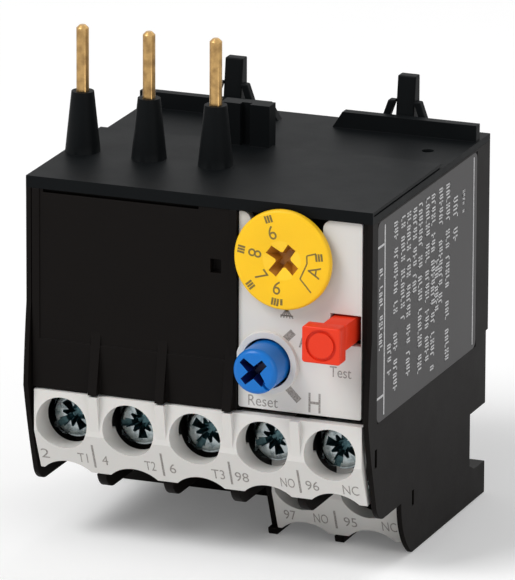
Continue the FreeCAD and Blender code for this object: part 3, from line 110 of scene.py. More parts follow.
class Value:
    """Number on a shader socket, for use in Python expressions."""

    def __init__(self, graph: "Graph", socket: bpy.types.NodeSocket) -> None:
        """Wraps a socket of a graph.

        Args:
            graph: The graph that the socket belongs to.
            socket: An output socket that carries a number.
        """
        self.graph = graph
        self.socket = socket

    def _math(self, operation: str, first: Operand, second: Operand) -> "Value":
        """Adds one Math node.

        Args:
            operation: Name of the node's operation.
            first: First operand.
            second: Second operand.

        Returns:
            The node's result.
        """
        return self.graph.value("ShaderNodeMath", {"operation": operation}, {0: first, 1: second})

    def __add__(self, other: Operand) -> "Value":
        """Sum."""
        return self._math("ADD", self, other)

    def __radd__(self, other: Operand) -> "Value":
        """Sum with a number on the left."""
        return self._math("ADD", other, self)

    def __sub__(self, other: Operand) -> "Value":
        """Difference."""
        return self._math("SUBTRACT", self, other)

    def __rsub__(self, other: Operand) -> "Value":
        """Difference from a number on the left."""
        return self._math("SUBTRACT", other, self)

    def __mul__(self, other: Operand) -> "Value":
        """Product."""
        return self._math("MULTIPLY", self, other)

    def __rmul__(self, other: Operand) -> "Value":
        """Product with a number on the left."""
        return self._math("MULTIPLY", other, self)

    def at_least(self, other: Operand) -> "Value":
        """The greater of this and another."""
        return self._math("MAXIMUM", self, other)

    def clamped(self) -> "Value":
        """This value kept between zero and one."""
        return self.graph.value("ShaderNodeClamp", {}, {"Value": self})


class Graph:
    """Node tree, built by calls in place of drawn links."""

    def __init__(self, tree: bpy.types.NodeTree) -> None:
        """Empties a tree and takes it over.

        Args:
            tree: The tree of a material or a world.
        """
        self.tree = tree
        self.tree.nodes.clear()

    def node(self, kind: str, settings: dict[str, object] | None = None,
             inputs: dict[object, object] | None = None) -> bpy.types.Node:
        """Adds any node.

        Args:
            kind: Blender's name for the node's type.
            settings: Settings by name, made before the inputs.
            inputs: Numbers, colours, sockets or values by the input's name or index.

        Returns:
            The new node.
        """
        made = self.tree.nodes.new(kind)
        for name, setting in (settings or {}).items():
            setattr(made, name, setting)
        for key, source in (inputs or {}).items():
            self.feed(made.inputs[key], source)
        return made

    def feed(self, target: bpy.types.NodeSocket, source: object) -> None:
        """Sets or links one input.

        Args:
            target: The input socket.
            source: A number, a colour, a socket or a Value.
        """
        if isinstance(source, Value):
            source = source.socket
        if isinstance(source, bpy.types.NodeSocket):
            self.tree.links.new(source, target)
        elif isinstance(source, tuple) and len(source) == 3 and target.type == "RGBA":
            target.default_value = (*source, 1.0)
        else:
            target.default_value = source

    def value(self, kind: str, settings: dict[str, object] | None = None,
              inputs: dict[object, object] | None = None) -> Value:
        """Adds a node and takes its first output as a number.

        Args:
            kind: Blender's name for the node's type.
            settings: As for node().
            inputs: As for node().

        Returns:
            The output, ready for expressions.
        """
        return Value(self, self.node(kind, settings, inputs).outputs[0])


class SurfaceGraph(Graph):
    """Node tree of one material with its surface shader."""

    MIX_LOW, MIX_HIGH, MIX_RESULT = 6, 7, 2

    def __init__(self, name: str) -> None:
        """Makes a material with a surface shader and its output.

        Args:
            name: Name of the material.
        """
        self.material = bpy.data.materials.new(name)
        self.material.use_nodes = True
        super().__init__(self.material.node_tree)
        self.shader = self.node("ShaderNodeBsdfPrincipled")
        self.node("ShaderNodeOutputMaterial", {}, {"Surface": self.shader.outputs["BSDF"]})

    def noise(self, size: float, detail: float = 2.0, lay: Lay = Lay.EVEN) -> Value:
        """Noise whose patches are about a given size.

        Args:
            size: Size of a patch in millimetres.
            detail: Octaves of finer noise.
            lay: Direction that the patches are drawn out in.

        Returns:
            Value from zero to one.
        """
        place = self.node("ShaderNodeTexCoord").outputs["Object"]
        drawn = self.node("ShaderNodeVectorMath", {"operation": "MULTIPLY"},
                          {0: place, 1: lay.value})
        inputs = {"Vector": drawn.outputs[0], "Scale": 1.0 / (size * MM), "Detail": detail}
        return self.value("ShaderNodeTexNoise", {}, inputs)

    def between(self, share: Value, low: Colour, high: Colour) -> bpy.types.NodeSocket:
        """Colour that goes from one colour to another.

        Args:
            share: Zero for the first colour, one for the second.
            low: First colour.
            high: Second colour.

        Returns:
            Socket with the mixed colour.
        """
        made = self.node("ShaderNodeMix", {"data_type": "RGBA"},
                         {"Factor": share, self.MIX_LOW: low, self.MIX_HIGH: high})
        return made.outputs[self.MIX_RESULT]

    def bump(self, height: Value, depth: float) -> None:
        """Roughens the surface's normal.

        Args:
            height: Relief from zero to one.
            depth: Depth of the relief in millimetres.
        """
        relief = {"Height": height, "Distance": depth * MM, "Strength": 1.0}
        made = self.node("ShaderNodeBump", {}, relief)
        self.feed(self.shader.inputs["Normal"], made.outputs["Normal"])

    def surface(self, **inputs: object) -> None:
        """Sets or links the surface shader's own inputs.

        Args:
            inputs: Values by input name, with _ for a blank.
        """
        for name, source in inputs.items():
            self.feed(self.shader.inputs[name.replace("_", " ")], source)


def shaded(colour: Colour, factor: float) -> Colour:
    """Colour made lighter, or darker by a factor under one.

    Args:
        colour: The colour to start from.
        factor: How many times as bright it becomes.

    Returns:
        The changed colour, kept below white.
    """
    return tuple(min(1.0, channel * factor) for channel in colour)


# ---------------------------------------------------------------- finishes


@dataclass(frozen=True)
class Moulding:
    """Moulded plastic with a fine eroded texture and slight mottling."""

    name: str
    slot: str
    colour: Colour
    roughness: float = 0.45
    patch: float = 3.5
    grain: float = 0.22
    grain_depth: float = 0.006
    grain_share: float = 0.3
    grain_roughness: float = 0.08
    mottle: float = 0.06
    wave: float = 9.0
    wave_depth: float = 0.01
    wear: float = 0.05
    subsurface: float = 0.0
    subsurface_reach: float = 0.6
    gloss: float = 0.5

    def material(self) -> bpy.types.Material:
        """Builds the finish.

        Returns:
            The material.
        """
        graph = SurfaceGraph(self.name)
        patches = graph.noise(self.patch, detail=3.0)
        fine = graph.noise(self.grain, detail=3.0)
        broad = graph.noise(self.wave, detail=1.0)
        share = (patches * (1 - self.grain_share) + fine * self.grain_share).clamped()
        darkest, lightest = (shaded(self.colour, 1 + sign * self.mottle) for sign in (-1, 1))
        tint = graph.between(share, darkest, lightest)
        uneven = ((patches - NOISE_MIDDLE) * self.wear
                  + (fine - NOISE_MIDDLE) * self.grain_roughness)
        graph.surface(Base_Color=tint, Roughness=(self.roughness + uneven).clamped(),
                      IOR=PLASTIC_IOR, Specular_IOR_Level=self.gloss)
        if self.subsurface:
            graph.surface(Subsurface_Weight=self.subsurface,
                          Subsurface_Scale=self.subsurface_reach * MM)
        graph.bump(fine + broad * (self.wave_depth / self.grain_depth), self.grain_depth)
        return graph.material


@dataclass(frozen=True)
class BareMetal:
    """Drawn, rolled or plated metal with fine lines and dull patches."""

    name: str
    slot: str
    colour: Colour
    dull: Colour
    roughness: float = 0.28
    lay: Lay = Lay.EVEN
    line: float = 0.08
    line_depth: float = 0.004
    line_roughness: float = 0.12
    patch: float = 1.2
    dull_from: float = 0.42
    dull_rise: float = 3.0
    dull_roughness: float = 0.14

    def material(self) -> bpy.types.Material:
        """Builds the finish.

        Returns:
            The material.
        """
        graph = SurfaceGraph(self.name)
        lines = graph.noise(self.line, lay=self.lay)
        patches = graph.noise(self.patch, detail=4.0)
        dullness = ((patches - self.dull_from) * self.dull_rise).clamped()
        tint = graph.between(dullness, self.colour, self.dull)
        roughness = (self.roughness + dullness * self.dull_roughness
                     + (lines - NOISE_MIDDLE) * self.line_roughness)
        graph.surface(Base_Color=tint, Metallic=1.0, Roughness=roughness.clamped())
        graph.bump(lines, self.line_depth)
        return graph.material


@dataclass(frozen=True)
class PrintedInk:
    """Thin printed ink with slightly uneven cover."""

    name: str
    slot: str
    colour: Colour
    bare: Colour
    speck: float = 0.16
    cover_from: float = 0.3
    cover_rise: float = 2.2
    roughness: float = 0.55
    cover_roughness: float = 0.1

    def material(self) -> bpy.types.Material:
        """Builds the finish.

        Returns:
            The material.
        """
        graph = SurfaceGraph(self.name)
        cover = ((graph.noise(self.speck) - self.cover_from) * self.cover_rise).clamped()
        tint = graph.between(cover, self.bare, self.colour)
        graph.surface(Base_Color=tint, Roughness=self.roughness + cover * self.cover_roughness)
        return graph.material


@dataclass(frozen=True)
class LabelFilm:
    """Satin printed film with a soft grain and faint smears."""

    name: str
    slot: str
    colour: Colour
    smear: float = 6.0
    smear_shades: Pair = (0.9, 1.12)
    smear_roughness: float = 0.1
    grain: float = 0.12
    grain_depth: float = 0.002
    roughness: float = 0.4
    gloss: float = 0.16

    def material(self) -> bpy.types.Material:
        """Builds the finish.

        Returns:
            The material.
        """
        graph = SurfaceGraph(self.name)
        smear = graph.noise(self.smear, detail=3.0, lay=Lay.UPRIGHT)
        grain = graph.noise(self.grain)
        tint = graph.between(smear, *(shaded(self.colour, shade) for shade in self.smear_shades))
        roughness = (self.roughness + smear * self.smear_roughness).clamped()
        graph.surface(Base_Color=tint, Roughness=roughness, Specular_IOR_Level=self.gloss)
        graph.bump(grain, self.grain_depth)
        return graph.material


class Finishes:
    """All finishes of the relay, each built once."""

    BLACK = Moulding("black_moulding", "black_moulding", (0.0046, 0.0036, 0.0032), 0.5,
                     mottle=0.12, wear=0.1, gloss=0.07)
    # Lid and latches: a cooler, lighter copy of the black moulding, a painted reflection of the
    # pale sky on the top.
    LID_BLACK_PAINTED_REFLECTION = Moulding("lid_moulding_painted_reflection", "black_moulding", (0.0042, 0.0050, 0.0056), 0.5,
                         mottle=0.12, wear=0.1, gloss=0.055)
    WHITE = Moulding("white_moulding", "white_moulding", (0.64, 0.625, 0.60), 0.5,
                     mottle=0.015, grain_depth=0.004, subsurface=0.05, gloss=0.3)
    YELLOW = Moulding("yellow_moulding", "yellow_moulding", (0.90, 0.53, 0.014), 0.38,
                      mottle=0.03, grain_depth=0.003, subsurface=0.06, gloss=0.2)
    # Lighter copy of the yellow moulding: painted light on the dial's cone around the cross.
    CONE_PAINTED_LIGHT = Moulding("yellow_moulding_in_shade", "yellow_moulding", (0.95, 0.57, 0.020), 0.4,
                     mottle=0.08, grain_depth=0.003, gloss=0.35)
    # Dark copy of the yellow moulding: painted shade deep in the dial's cross recess.
    DIAL_RECESS_PAINTED_SHADE = Moulding("yellow_moulding_painted_recess_shade", "yellow_moulding", (0.36, 0.135, 0.012), 0.4,
                     mottle=0.25, grain_depth=0.003, gloss=0.35)
    BLUE = Moulding("blue_moulding", "blue_moulding", (0.004, 0.150, 0.52), 0.3,
                    mottle=0.05, grain_depth=0.003, subsurface=0.04, gloss=0.25)
    # Dark copy of the blue moulding: painted shade deep in the knob's cross recess.
    KNOB_RECESS_PAINTED_SHADE = Moulding("blue_moulding_painted_recess_shade", "blue_moulding", (0.004, 0.010, 0.085), 0.35,
                    mottle=0.2, grain_depth=0.003, gloss=0.3)
    RED = Moulding("red_moulding", "red_moulding", (0.76, 0.040, 0.012), 0.36,
                   mottle=0.04, grain_depth=0.003, subsurface=0.05, gloss=0.2)
    NATURAL = Moulding("natural_moulding", "natural_moulding", (0.66, 0.60, 0.48), 0.48)
    BRASS = BareMetal("brass", "brass", (0.54, 0.34, 0.135), (0.27, 0.16, 0.065), 0.3,
                      Lay.UPRIGHT)
    TINNED = BareMetal("tinned_copper", "tinned_copper", (0.72, 0.68, 0.62),
                       (0.50, 0.46, 0.40), 0.32, Lay.SIDEWAYS)
    BIMETAL = BareMetal("bimetal", "bimetal", (0.60, 0.60, 0.61), (0.42, 0.40, 0.38), 0.3,
                        Lay.UPRIGHT)
    HEATER = BareMetal("resistance_alloy", "resistance_alloy", (0.42, 0.37, 0.32),
                       (0.25, 0.20, 0.17), 0.4, Lay.SIDEWAYS)
    ZINC = BareMetal("zinc_steel", "zinc_steel", (0.40, 0.45, 0.46), (0.12, 0.16, 0.17), 0.2,
                     line=0.12, patch=0.7)
    # Dark copy of the zinc finish: painted shade deep in the screws' slot and cross.
    SCREW_RECESS_PAINTED_SHADE = BareMetal("zinc_steel_painted_recess_shade", "zinc_steel", (0.11, 0.20, 0.22),
                            (0.045, 0.085, 0.10), 0.3, line=0.12, patch=0.5)
    SPRING = BareMetal("spring_steel", "spring_steel", (0.55, 0.55, 0.57),
                       (0.38, 0.38, 0.40), 0.25)
    FILM = LabelFilm("grey_label", "grey_label", (0.056, 0.054, 0.055))
    DARK_INK = PrintedInk("dark_ink", "white_moulding", (0.15, 0.13, 0.12), (0.36, 0.34, 0.32))
    DIAL_INK = PrintedInk("dial_ink", "yellow_moulding", (0.085, 0.065, 0.020),
                          (0.24, 0.15, 0.02))
    WHITE_INK = PrintedInk("white_ink", "grey_label", (0.74, 0.74, 0.74), (0.40, 0.40, 0.41))

    def __init__(self) -> None:
        """Starts with no material built."""
        self._built: dict[str, bpy.types.Material] = {}

    def material(self, finish: object) -> bpy.types.Material:
        """Material of a finish, built when first asked for.

        Args:
            finish: One of this class's finishes.

        Returns:
            The material.
        """
        if finish.name not in self._built:
            self._built[finish.name] = finish.material()
        return self._built[finish.name]

    def dress(self, thing: Thing, finish: object) -> None:
        """Gives an object one finish all over.

        Args:
            thing: Mesh object.
            finish: One of this class's finishes.
        """
        if not thing.data.materials:
            thing.data.materials.append(None)
        for index in range(len(thing.data.materials)):
            thing.data.materials[index] = self.material(finish)
        "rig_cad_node" not in thing

    def paint_recess_shading(self, thing: Thing, finish: object, centre: Vector, radius: float,
              depth: Pair) -> None:
        """Paints light and shade into a recess: faces at the given depths get a lit or shaded copy
        of the finish.

        Args:
            thing: Piece that is dressed already.
            finish: The lit or shaded copy, one of this class's finishes.
            centre: Middle of the recess at its front, in metres.
            radius: Only faces nearer to the axis than this, in millimetres.
            depth: Only faces between these depths behind the front.
        """
        thing.data.materials.append(self.material(finish))
        for face in thing.data.polygons:
            offset = (face.center - centre) / MM
            if math.hypot(offset.x, offset.z) < radius and depth[0] < offset.y < depth[1]:
                face.material_index = len(thing.data.materials) - 1


# ---------------------------------------------------------------- mesh making


class Workshop:
    """Turning, sawing and rounding of meshes, in the relay's frame and in millimetres."""

    ROUND = 72
    OVERCUT = 0.1
    SAME_POINT = 1e-7
    SLAB_STEPS = (5, 8)
    SLAB_REAR = 0.05
    BEVEL_STEPS = 2
    ROUNDED = (0.4, 32.0)

    @staticmethod
    def linked(name: str, shape: bmesh.types.BMesh) -> Thing:
        """Puts a bmesh into the scene as it is.

        Args:
            name: Name of the piece.
            shape: The mesh; it is freed here.

        Returns:
            The object, at the origin.
        """
        data = bpy.data.meshes.new(name)
        shape.to_mesh(data)
        shape.free()
        thing = bpy.data.objects.new(name, data)
        bpy.context.scene.collection.objects.link(thing)
        return thing

    @classmethod
    def closed(cls, name: str, shape: bmesh.types.BMesh) -> Thing:
        """Puts a bmesh into the scene, its corners joined and its faces turned outwards.

        Args:
            name: Name of the piece.
            shape: Closed mesh; it is freed here.

        Returns:
            The object, at the origin.
        """
        bmesh.ops.remove_doubles(shape, verts=shape.verts, dist=cls.SAME_POINT)
        bmesh.ops.recalc_face_normals(shape, faces=shape.faces)
        return cls.linked(name, shape)

    @staticmethod
    def walls(shape: bmesh.types.BMesh, loops: Sequence[list[bmesh.types.BMVert]]) -> None:
        """Joins loops of corners by walls.

        Args:
            shape: Mesh that holds the corners.
            loops: Rings of corners from front to rear, all of one length.
        """
        for front, rear in zip(loops, loops[1:]):
            for step in range(len(front)):
                other = (step + 1) % len(front)
                shape.faces.new([front[step], front[other], rear[other], rear[step]])

    @classmethod
    def extruded(cls, name: str, loops: Sequence[Sequence[Vector]]) -> Thing:
        """Solid that runs through loops of corners, with a flat face at each end.

        Args:
            name: Name of the piece.
            loops: Rings of places in metres, from front to rear, all of one length.

        Returns:
            The solid.
        """
        shape = bmesh.new()
        rings = [[shape.verts.new(place) for place in loop] for loop in loops]
        shape.faces.new(rings[0])
        shape.faces.new(list(reversed(rings[-1])))
        cls.walls(shape, rings)
        return cls.closed(name, shape)

    @classmethod
    def turned(cls, name: str, centre: Vector, profile: Section) -> Thing:
        """Solid of revolution about an axis that runs from front to rear.

        Args:
            name: Name of the piece.
            centre: Front end of the axis, in metres.
            profile: Radius and place along the axis in millimetres, from axis to axis.

        Returns:
            The turned object.
        """
        shape = bmesh.new()
        rings = []
        for radius, along in profile:
            ring = []
            for step in range(cls.ROUND if radius > 0.0 else 1):
                angle = 2 * math.pi * step / cls.ROUND
                offset = Vector((radius * math.cos(angle), along, radius * math.sin(angle)))
                ring.append(shape.verts.new(centre + offset * MM))
            rings.append(ring)
        for lower, upper in zip(rings, rings[1:]):
            for step in range(cls.ROUND):
                corners = [lower[step % len(lower)], lower[(step + 1) % len(lower)],
                           upper[(step + 1) % len(upper)], upper[step % len(upper)]]
                unique = list(dict.fromkeys(corners))
                if len(unique) > 2:
                    shape.faces.new(unique)
        return cls.closed(name, shape)

    @classmethod
    def block(cls, name: str, low: Vector, high: Vector) -> Thing:
        """Block between two corners.

        Args:
            name: Name of the piece.
            low: Lowest corner, in metres.
            high: Highest corner, in metres.

        Returns:
            The block.
        """
        shape = bmesh.new()
        where = Matrix.Translation((low + high) / 2) @ Matrix.Diagonal((*(high - low), 1.0))
        bmesh.ops.create_cube(shape, size=1.0, matrix=where)
        return cls.closed(name, shape)

    @classmethod
    def slot(cls, centre: Vector, start: float, end: float, width: float, depth: float,
             angle: float) -> Thing:
        """Cutter for a straight slot in a front face.

        Args:
            centre: Middle of the face, in metres.
            start: Near end along the slot, in millimetres from the middle.
            end: Far end.
            width: Width of the slot.
            depth: Depth of the slot.
            angle: Direction of the slot in degrees, from +x towards +z.

        Returns:
            The cutter.
        """
        low = Vector((start, -cls.OVERCUT, -width / 2)) * MM
        cutter = cls.block("cutter", low, Vector((end, depth, width / 2)) * MM)
        turn = Matrix.Rotation(math.radians(-angle), 4, "Y")
        cutter.data.transform(Matrix.Translation(centre) @ turn)
        return cutter

    @classmethod
    def star(cls, centre: Vector, arms: Sequence[Triple], root: float,
             depth: float, taper: float) -> Thing:
        """Cutter for a star-shaped recess that narrows towards its bottom.

        Args:
            centre: Middle of the recess at its front, in metres.
            arms: Direction in degrees, reach and width at the end of each arm, in rising order.
            root: Radius of the inner corners between the arms.
            depth: Depth of the recess.
            taper: Size at the bottom as a share of the size at the front.

        Returns:
            The cutter.
        """
        outline = []
        directions = [angle for angle, _, _ in arms] + [arms[0][0] + 360.0]
        for (angle, reach, width), following in zip(arms, directions[1:]):
            spread = math.degrees(math.atan2(width / 2, reach))
            tip = math.hypot(reach, width / 2)
            outline += [(angle - spread, tip), (angle + spread, tip),
                        ((angle + following) / 2, root)]
        shape = bmesh.new()
        loops = []
        for share, place in ((1.0, -cls.OVERCUT), (taper, depth)):
            middle = centre + Vector((0.0, place, 0.0)) * MM
            loop = [shape.verts.new(middle + cls.spoke(angle, radius * share) * MM)
                    for angle, radius in outline]
            heart = shape.verts.new(middle)
            for step, corner in enumerate(loop):
                shape.faces.new([corner, loop[(step + 1) % len(loop)], heart])
            loops.append(loop)
        cls.walls(shape, loops)
        return cls.closed("cutter", shape)

    @staticmethod
    def spoke(angle: float, radius: float) -> Vector:
        """Offset on the front, at an angle in degrees from +x towards +z."""
        turn = math.radians(angle)
        return Vector((math.cos(turn), 0.0, math.sin(turn))) * radius

    @staticmethod
    def rim(radius: float, edge: float, steps: int) -> list[Pair]:
        """Section of a rounded front edge, a quarter of a circle.

        Args:
            radius: Outer radius of the piece.
            edge: Radius of the edge, in the same unit.
            steps: Number of flats.

        Returns:
            Radius and place along the axis, from the front outwards.
        """
        turns = [math.radians(90 / steps * step) for step in range(steps + 1)]
        return [(radius - edge + edge * math.sin(turn), edge - edge * math.cos(turn))
                for turn in turns]

    @staticmethod
    def cornered(low: Pair, high: Pair, corner: float, inset: float, steps: int) -> list[Pair]:
        """Outline of a rectangle with round corners.

        Args:
            low: Lowest corner of the rectangle, in metres.
            high: Highest corner of the rectangle, in metres.
            corner: Radius of the corners, in millimetres.
            inset: How far the outline keeps inside the rectangle, in millimetres.
            steps: Number of flats in each corner.

        Returns:
            Points in metres.
        """
        (left, bottom), (right, top) = low, high
        inner, reach = corner * MM, (corner - inset) * MM
        outline = []
        for x, y, start in ((right - inner, top - inner, 0), (left + inner, top - inner, 90),
                            (left + inner, bottom + inner, 180),
                            (right - inner, bottom + inner, 270)):
            for step in range(steps + 1):
                turn = math.radians(start + 90 / steps * step)
                outline.append((x + reach * math.cos(turn), y + reach * math.sin(turn)))
        return outline

    @classmethod
    def slab(cls, name: str, low: Vector, high: Vector, corner: float, edge: float) -> Thing:
        """Upright slab with round corners whose front edge is softly rounded.

        Args:
            name: Name of the piece.
            low: Lowest corner, in metres.
            high: Highest corner, in metres.
            corner: Radius of the corners as seen from the front, in millimetres.
            edge: Radius of the front edge, in millimetres.

        Returns:
            The slab.
        """
        depth_steps, corner_steps = cls.SLAB_STEPS
        sections = [(-out, low.y + back * MM) for out, back in cls.rim(0.0, edge, depth_steps)]
        sections += [(0.0, high.y - cls.SLAB_REAR * MM), (cls.SLAB_REAR, high.y)]
        ends = (low.x, low.z), (high.x, high.z)
        loops = [[Vector((x, y, z)) for x, z in cls.cornered(*ends, corner, inset, corner_steps)]
                 for inset, y in sections]
        return cls.smooth(cls.extruded(name, loops))

    @staticmethod
    def behind(thing: Thing, place: float) -> None:
        """Keeps what lies behind an upright plane, and closes the piece again.

        Args:
            thing: Closed piece.
            place: The plane's y, in metres.
        """
        shape = bmesh.new()
        shape.from_mesh(thing.data)
        everything = [*shape.verts, *shape.edges, *shape.faces]
        bmesh.ops.bisect_plane(shape, geom=everything, plane_co=(0.0, place, 0.0),
                               plane_no=(0.0, 1.0, 0.0), clear_inner=True)
        rim = [edge for edge in shape.edges if len(edge.link_faces) == 1]
        bmesh.ops.holes_fill(shape, edges=rim)
        shape.to_mesh(thing.data)
        shape.free()

    @staticmethod
    def evaluated(thing: Thing) -> bpy.types.Mesh:
        """Mesh that an object has once its modifiers or its text are worked out.

        Args:
            thing: Object with modifiers or text.

        Returns:
            The new mesh.
        """
        bpy.context.view_layer.update()
        state = bpy.context.evaluated_depsgraph_get()
        return bpy.data.meshes.new_from_object(thing.evaluated_get(state))

    @classmethod
    def settled(cls, thing: Thing) -> None:
        """Applies an object's modifiers and shades it smooth.

        Args:
            thing: Object with modifiers.
        """
        result = cls.evaluated(thing)
        result.name = thing.name
        thing.modifiers.clear()
        thing.data = result
        cls.smooth(thing)

    @classmethod
    def cut(cls, thing: Thing, cutters: Sequence[Thing]) -> None:
        """Takes cutters away from an object.

        Args:
            thing: Object that is cut.
            cutters: Closed objects; they are deleted afterwards.
        """
        for tool in cutters:
            step = thing.modifiers.new("cut", "BOOLEAN")
            step.operation = "DIFFERENCE"
            step.solver = "EXACT"
            step.object = tool
        cls.settled(thing)
        for tool in cutters:
            bpy.data.objects.remove(tool)

    @classmethod
    def eased(cls, thing: Thing, radius: float, flat: float, limit: float) -> None:
        """Joins flat faces and rounds sharp edges, by modifiers alone.

        Args:
            thing: The piece.
            radius: Width of the rounding in millimetres.
            flat: Faces that lie within this many degrees of each other become one.
            limit: Only edges sharper than this many degrees are rounded.
        """
        merged = thing.modifiers.new("flat", "DECIMATE")
        merged.decimate_type = "DISSOLVE"
        merged.angle_limit = math.radians(flat)
        bevel = thing.modifiers.new("ease", "BEVEL")
        bevel.width = radius * MM
        bevel.segments = cls.BEVEL_STEPS
        bevel.limit_method = "ANGLE"
        bevel.angle_limit = math.radians(limit)
        bevel.use_clamp_overlap = True

    @classmethod
    def rounded(cls, thing: Thing, radius: float) -> None:
        """Rounds an object's sharp edges for good, with a radius in millimetres."""
        cls.eased(thing, radius, *cls.ROUNDED)
        cls.settled(thing)

    @staticmethod
    def smooth(thing: Thing, limit: float = 34.0) -> Thing:
        """Shades an object smooth except at its sharp edges.

        Args:
            thing: Object to shade.
            limit: Edges sharper than this many degrees stay hard.

        Returns:
            The same object.
        """
        shape = bmesh.new()
        shape.from_mesh(thing.data)
        for face in shape.faces:
            face.smooth = True
        for edge in shape.edges:
            sharp = len(edge.link_faces) != 2 or edge.calc_face_angle(0.0) > math.radians(limit)
            edge.smooth = not sharp
        shape.to_mesh(thing.data)
        shape.free()
        return thing

    @classmethod
    def copy_of(cls, node: str, name: str) -> Thing:
        """New piece with the shape of a CAD node, its split corners joined.

        Args:
            node: Name of the CAD node.
            name: Name of the new piece.

        Returns:
            The new piece.
        """
        shape = bmesh.new()
        shape.from_mesh(frame["nodes"][node].data)
        return cls.closed(name, shape)

    @classmethod
    def joined(cls, name: str, things: Sequence[Thing]) -> Thing:
        """One object from several.

        Args:
            name: Name of the piece.
            things: Objects; they are deleted.

        Returns:
            The joined object.
        """
        shape = bmesh.new()
        for thing in things:
            shape.from_mesh(thing.data)
            bpy.data.objects.remove(thing)
        return cls.linked(name, shape)


class Printer:
    """Marks of printed ink as thin solids that lie on a surface."""

    THICKNESS = 0.02
    CAPITAL = 0.729
    CURVE_STEPS = 4

    def __init__(self, finishes: Finishes) -> None:
        """Keeps the finishes for the ink.

        Args:
            finishes: The relay's finishes.
        """
        self.finishes = finishes

    @staticmethod
    def _pose(facing: Facing, turn: float, lean: float) -> Matrix:
        """Rotation that stands flat artwork up on a surface.

        Args:
            facing: Side that the artwork is read from.
            turn: Turn in the surface, in degrees, anticlockwise as read.
            lean: How far the surface leans back at its foot, in degrees.

        Returns:
            Rotation matrix.
        """
        upright = Matrix.Rotation(math.radians(90 + lean), 4, "X")
        if facing is Facing.RIGHT:
            upright = Matrix.Rotation(math.radians(90), 4, "Z") @ upright
        return upright @ Matrix.Rotation(math.radians(turn), 4, "Z")

    def text(self, words: str, place: Vector, height: float, *, turn: float = 0.0,
             lean: float = 0.0, width: float = 1.0) -> Thing:
        """Characters on the front, with their middle at a place.

        Args:
            words: The characters.
            place: Middle of the characters, on the surface, in metres.
            height: Height of a capital in millimetres.
            turn: Turn in the surface, in degrees.
            lean: Lean of the surface, in degrees.
            width: Stretch along the line of writing.

        Returns:
            The characters as one mesh.
        """
        curve = bpy.data.curves.new("characters", "FONT")
        curve.body = words
        curve.size = height * MM / self.CAPITAL
        curve.align_x = "CENTER"
        curve.align_y = "CENTER"
        curve.extrude = self.THICKNESS * MM / 2
        curve.resolution_u = self.CURVE_STEPS
        source = bpy.data.objects.new("characters", curve)
        bpy.context.scene.collection.objects.link(source)
        data = Workshop.evaluated(source)
        bpy.data.objects.remove(source)
        stretch = Matrix.Diagonal((width, 1.0, 1.0, 1.0))
        stand = Matrix.Translation(place) @ self._pose(Facing.FRONT, turn, lean)
        data.transform(stand @ stretch)
        shape = bmesh.new()
        shape.from_mesh(data)
        return Workshop.closed("mark", shape)

    def shape(self, outline: Section, place: Vector, *, facing: Facing = Facing.FRONT,
              turn: float = 0.0, lean: float = 0.0) -> Thing:
        """Filled outline.

        Args:
            outline: Points across and up from the place, in millimetres.
            place: Where the outline's zero lies, on the surface, in metres.
            facing: Side that it is seen from.
            turn: Turn in the surface, in degrees.
            lean: Lean of the surface, in degrees.

        Returns:
            The mark.
        """
        stand = Matrix.Translation(place) @ self._pose(facing, turn, lean)
        half = self.THICKNESS / 2
        return Workshop.extruded("mark", [[stand @ (Vector((x, y, side)) * MM) for x, y in outline]
                                          for side in (-half, half)])

    def bar(self, size: Pair, place: Vector, **pose: object) -> Thing:
        """Filled rectangle with its middle at a place.

        Args:
            size: Width and height in millimetres.
            place: Middle, on the surface, in metres.
            pose: facing, turn and lean, as for shape().

        Returns:
            The mark.
        """
        x, y = size[0] / 2, size[1] / 2
        return self.shape([(-x, -y), (x, -y), (x, y), (-x, y)], place, **pose)

    def line(self, points: Section, stroke: float, place: Vector) -> Thing:
        """Line drawn through points on the front.

        Args:
            points: Corners across and up from the place, in millimetres.
            stroke: Width of the line in millimetres.
            place: Where the points' zero lies, in metres.

        Returns:
            The line as one mesh.
        """
        legs = []
        for (x0, y0), (x1, y1) in zip(points, points[1:]):
            length = math.hypot(x1 - x0, y1 - y0)
            across, up = (y0 - y1) / length * stroke / 2, (x1 - x0) / length * stroke / 2
            outline = [(x0 + across, y0 + up), (x0 - across, y0 - up),
                       (x1 - across, y1 - up), (x1 + across, y1 + up)]
            legs.append(self.shape(outline, place))
        return Workshop.joined("mark", legs)

    def printed(self, name: str, marks: Sequence[Thing], ink: PrintedInk, body: str) -> Thing:
        """Joins marks into one inked piece that rides on a body.

        Args:
            name: Name of the piece.
            marks: The marks.
            ink: Finish of the ink.
            body: CAD body that carries them.

        Returns:
            The inked piece.
        """
        whole = Workshop.joined(name, marks)
        self.finishes.dress(whole, ink)
        log.info("%s made of %d marks, %d faces", name, len(marks), len(whole.data.polygons))
        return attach(whole, body)


class Surface:
    """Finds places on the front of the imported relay."""

    START = -0.1

    @staticmethod
    def front_centre(node: str) -> Vector:
        """Middle of the front of a CAD node's box, in metres."""
        low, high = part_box(node)
        return Vector(((low.x + high.x) / 2, low.y, (low.z + high.z) / 2))

    @classmethod
    def landing(cls, node: str, x: float, z: float) -> tuple[Vector, float]:
        """Where a line from the front meets a CAD node.

        Args:
            node: Name of the CAD node.
            x: Place across, in metres.
            z: Height, in metres.

        Returns:
            The point met, and the surface's lean there in degrees.
        """
        start = Vector((x, cls.START, z))
        hit, point, normal, _ = frame["nodes"][node].ray_cast(start, Vector((0.0, 1.0, 0.0)))
        if not hit:
            raise ValueError(f"nothing of {node} lies behind x={x:.4f}, z={z:.4f}")
        return point, math.degrees(math.atan2(-normal.z, -normal.y))


# ---------------------------------------------------------------- sub-assemblies


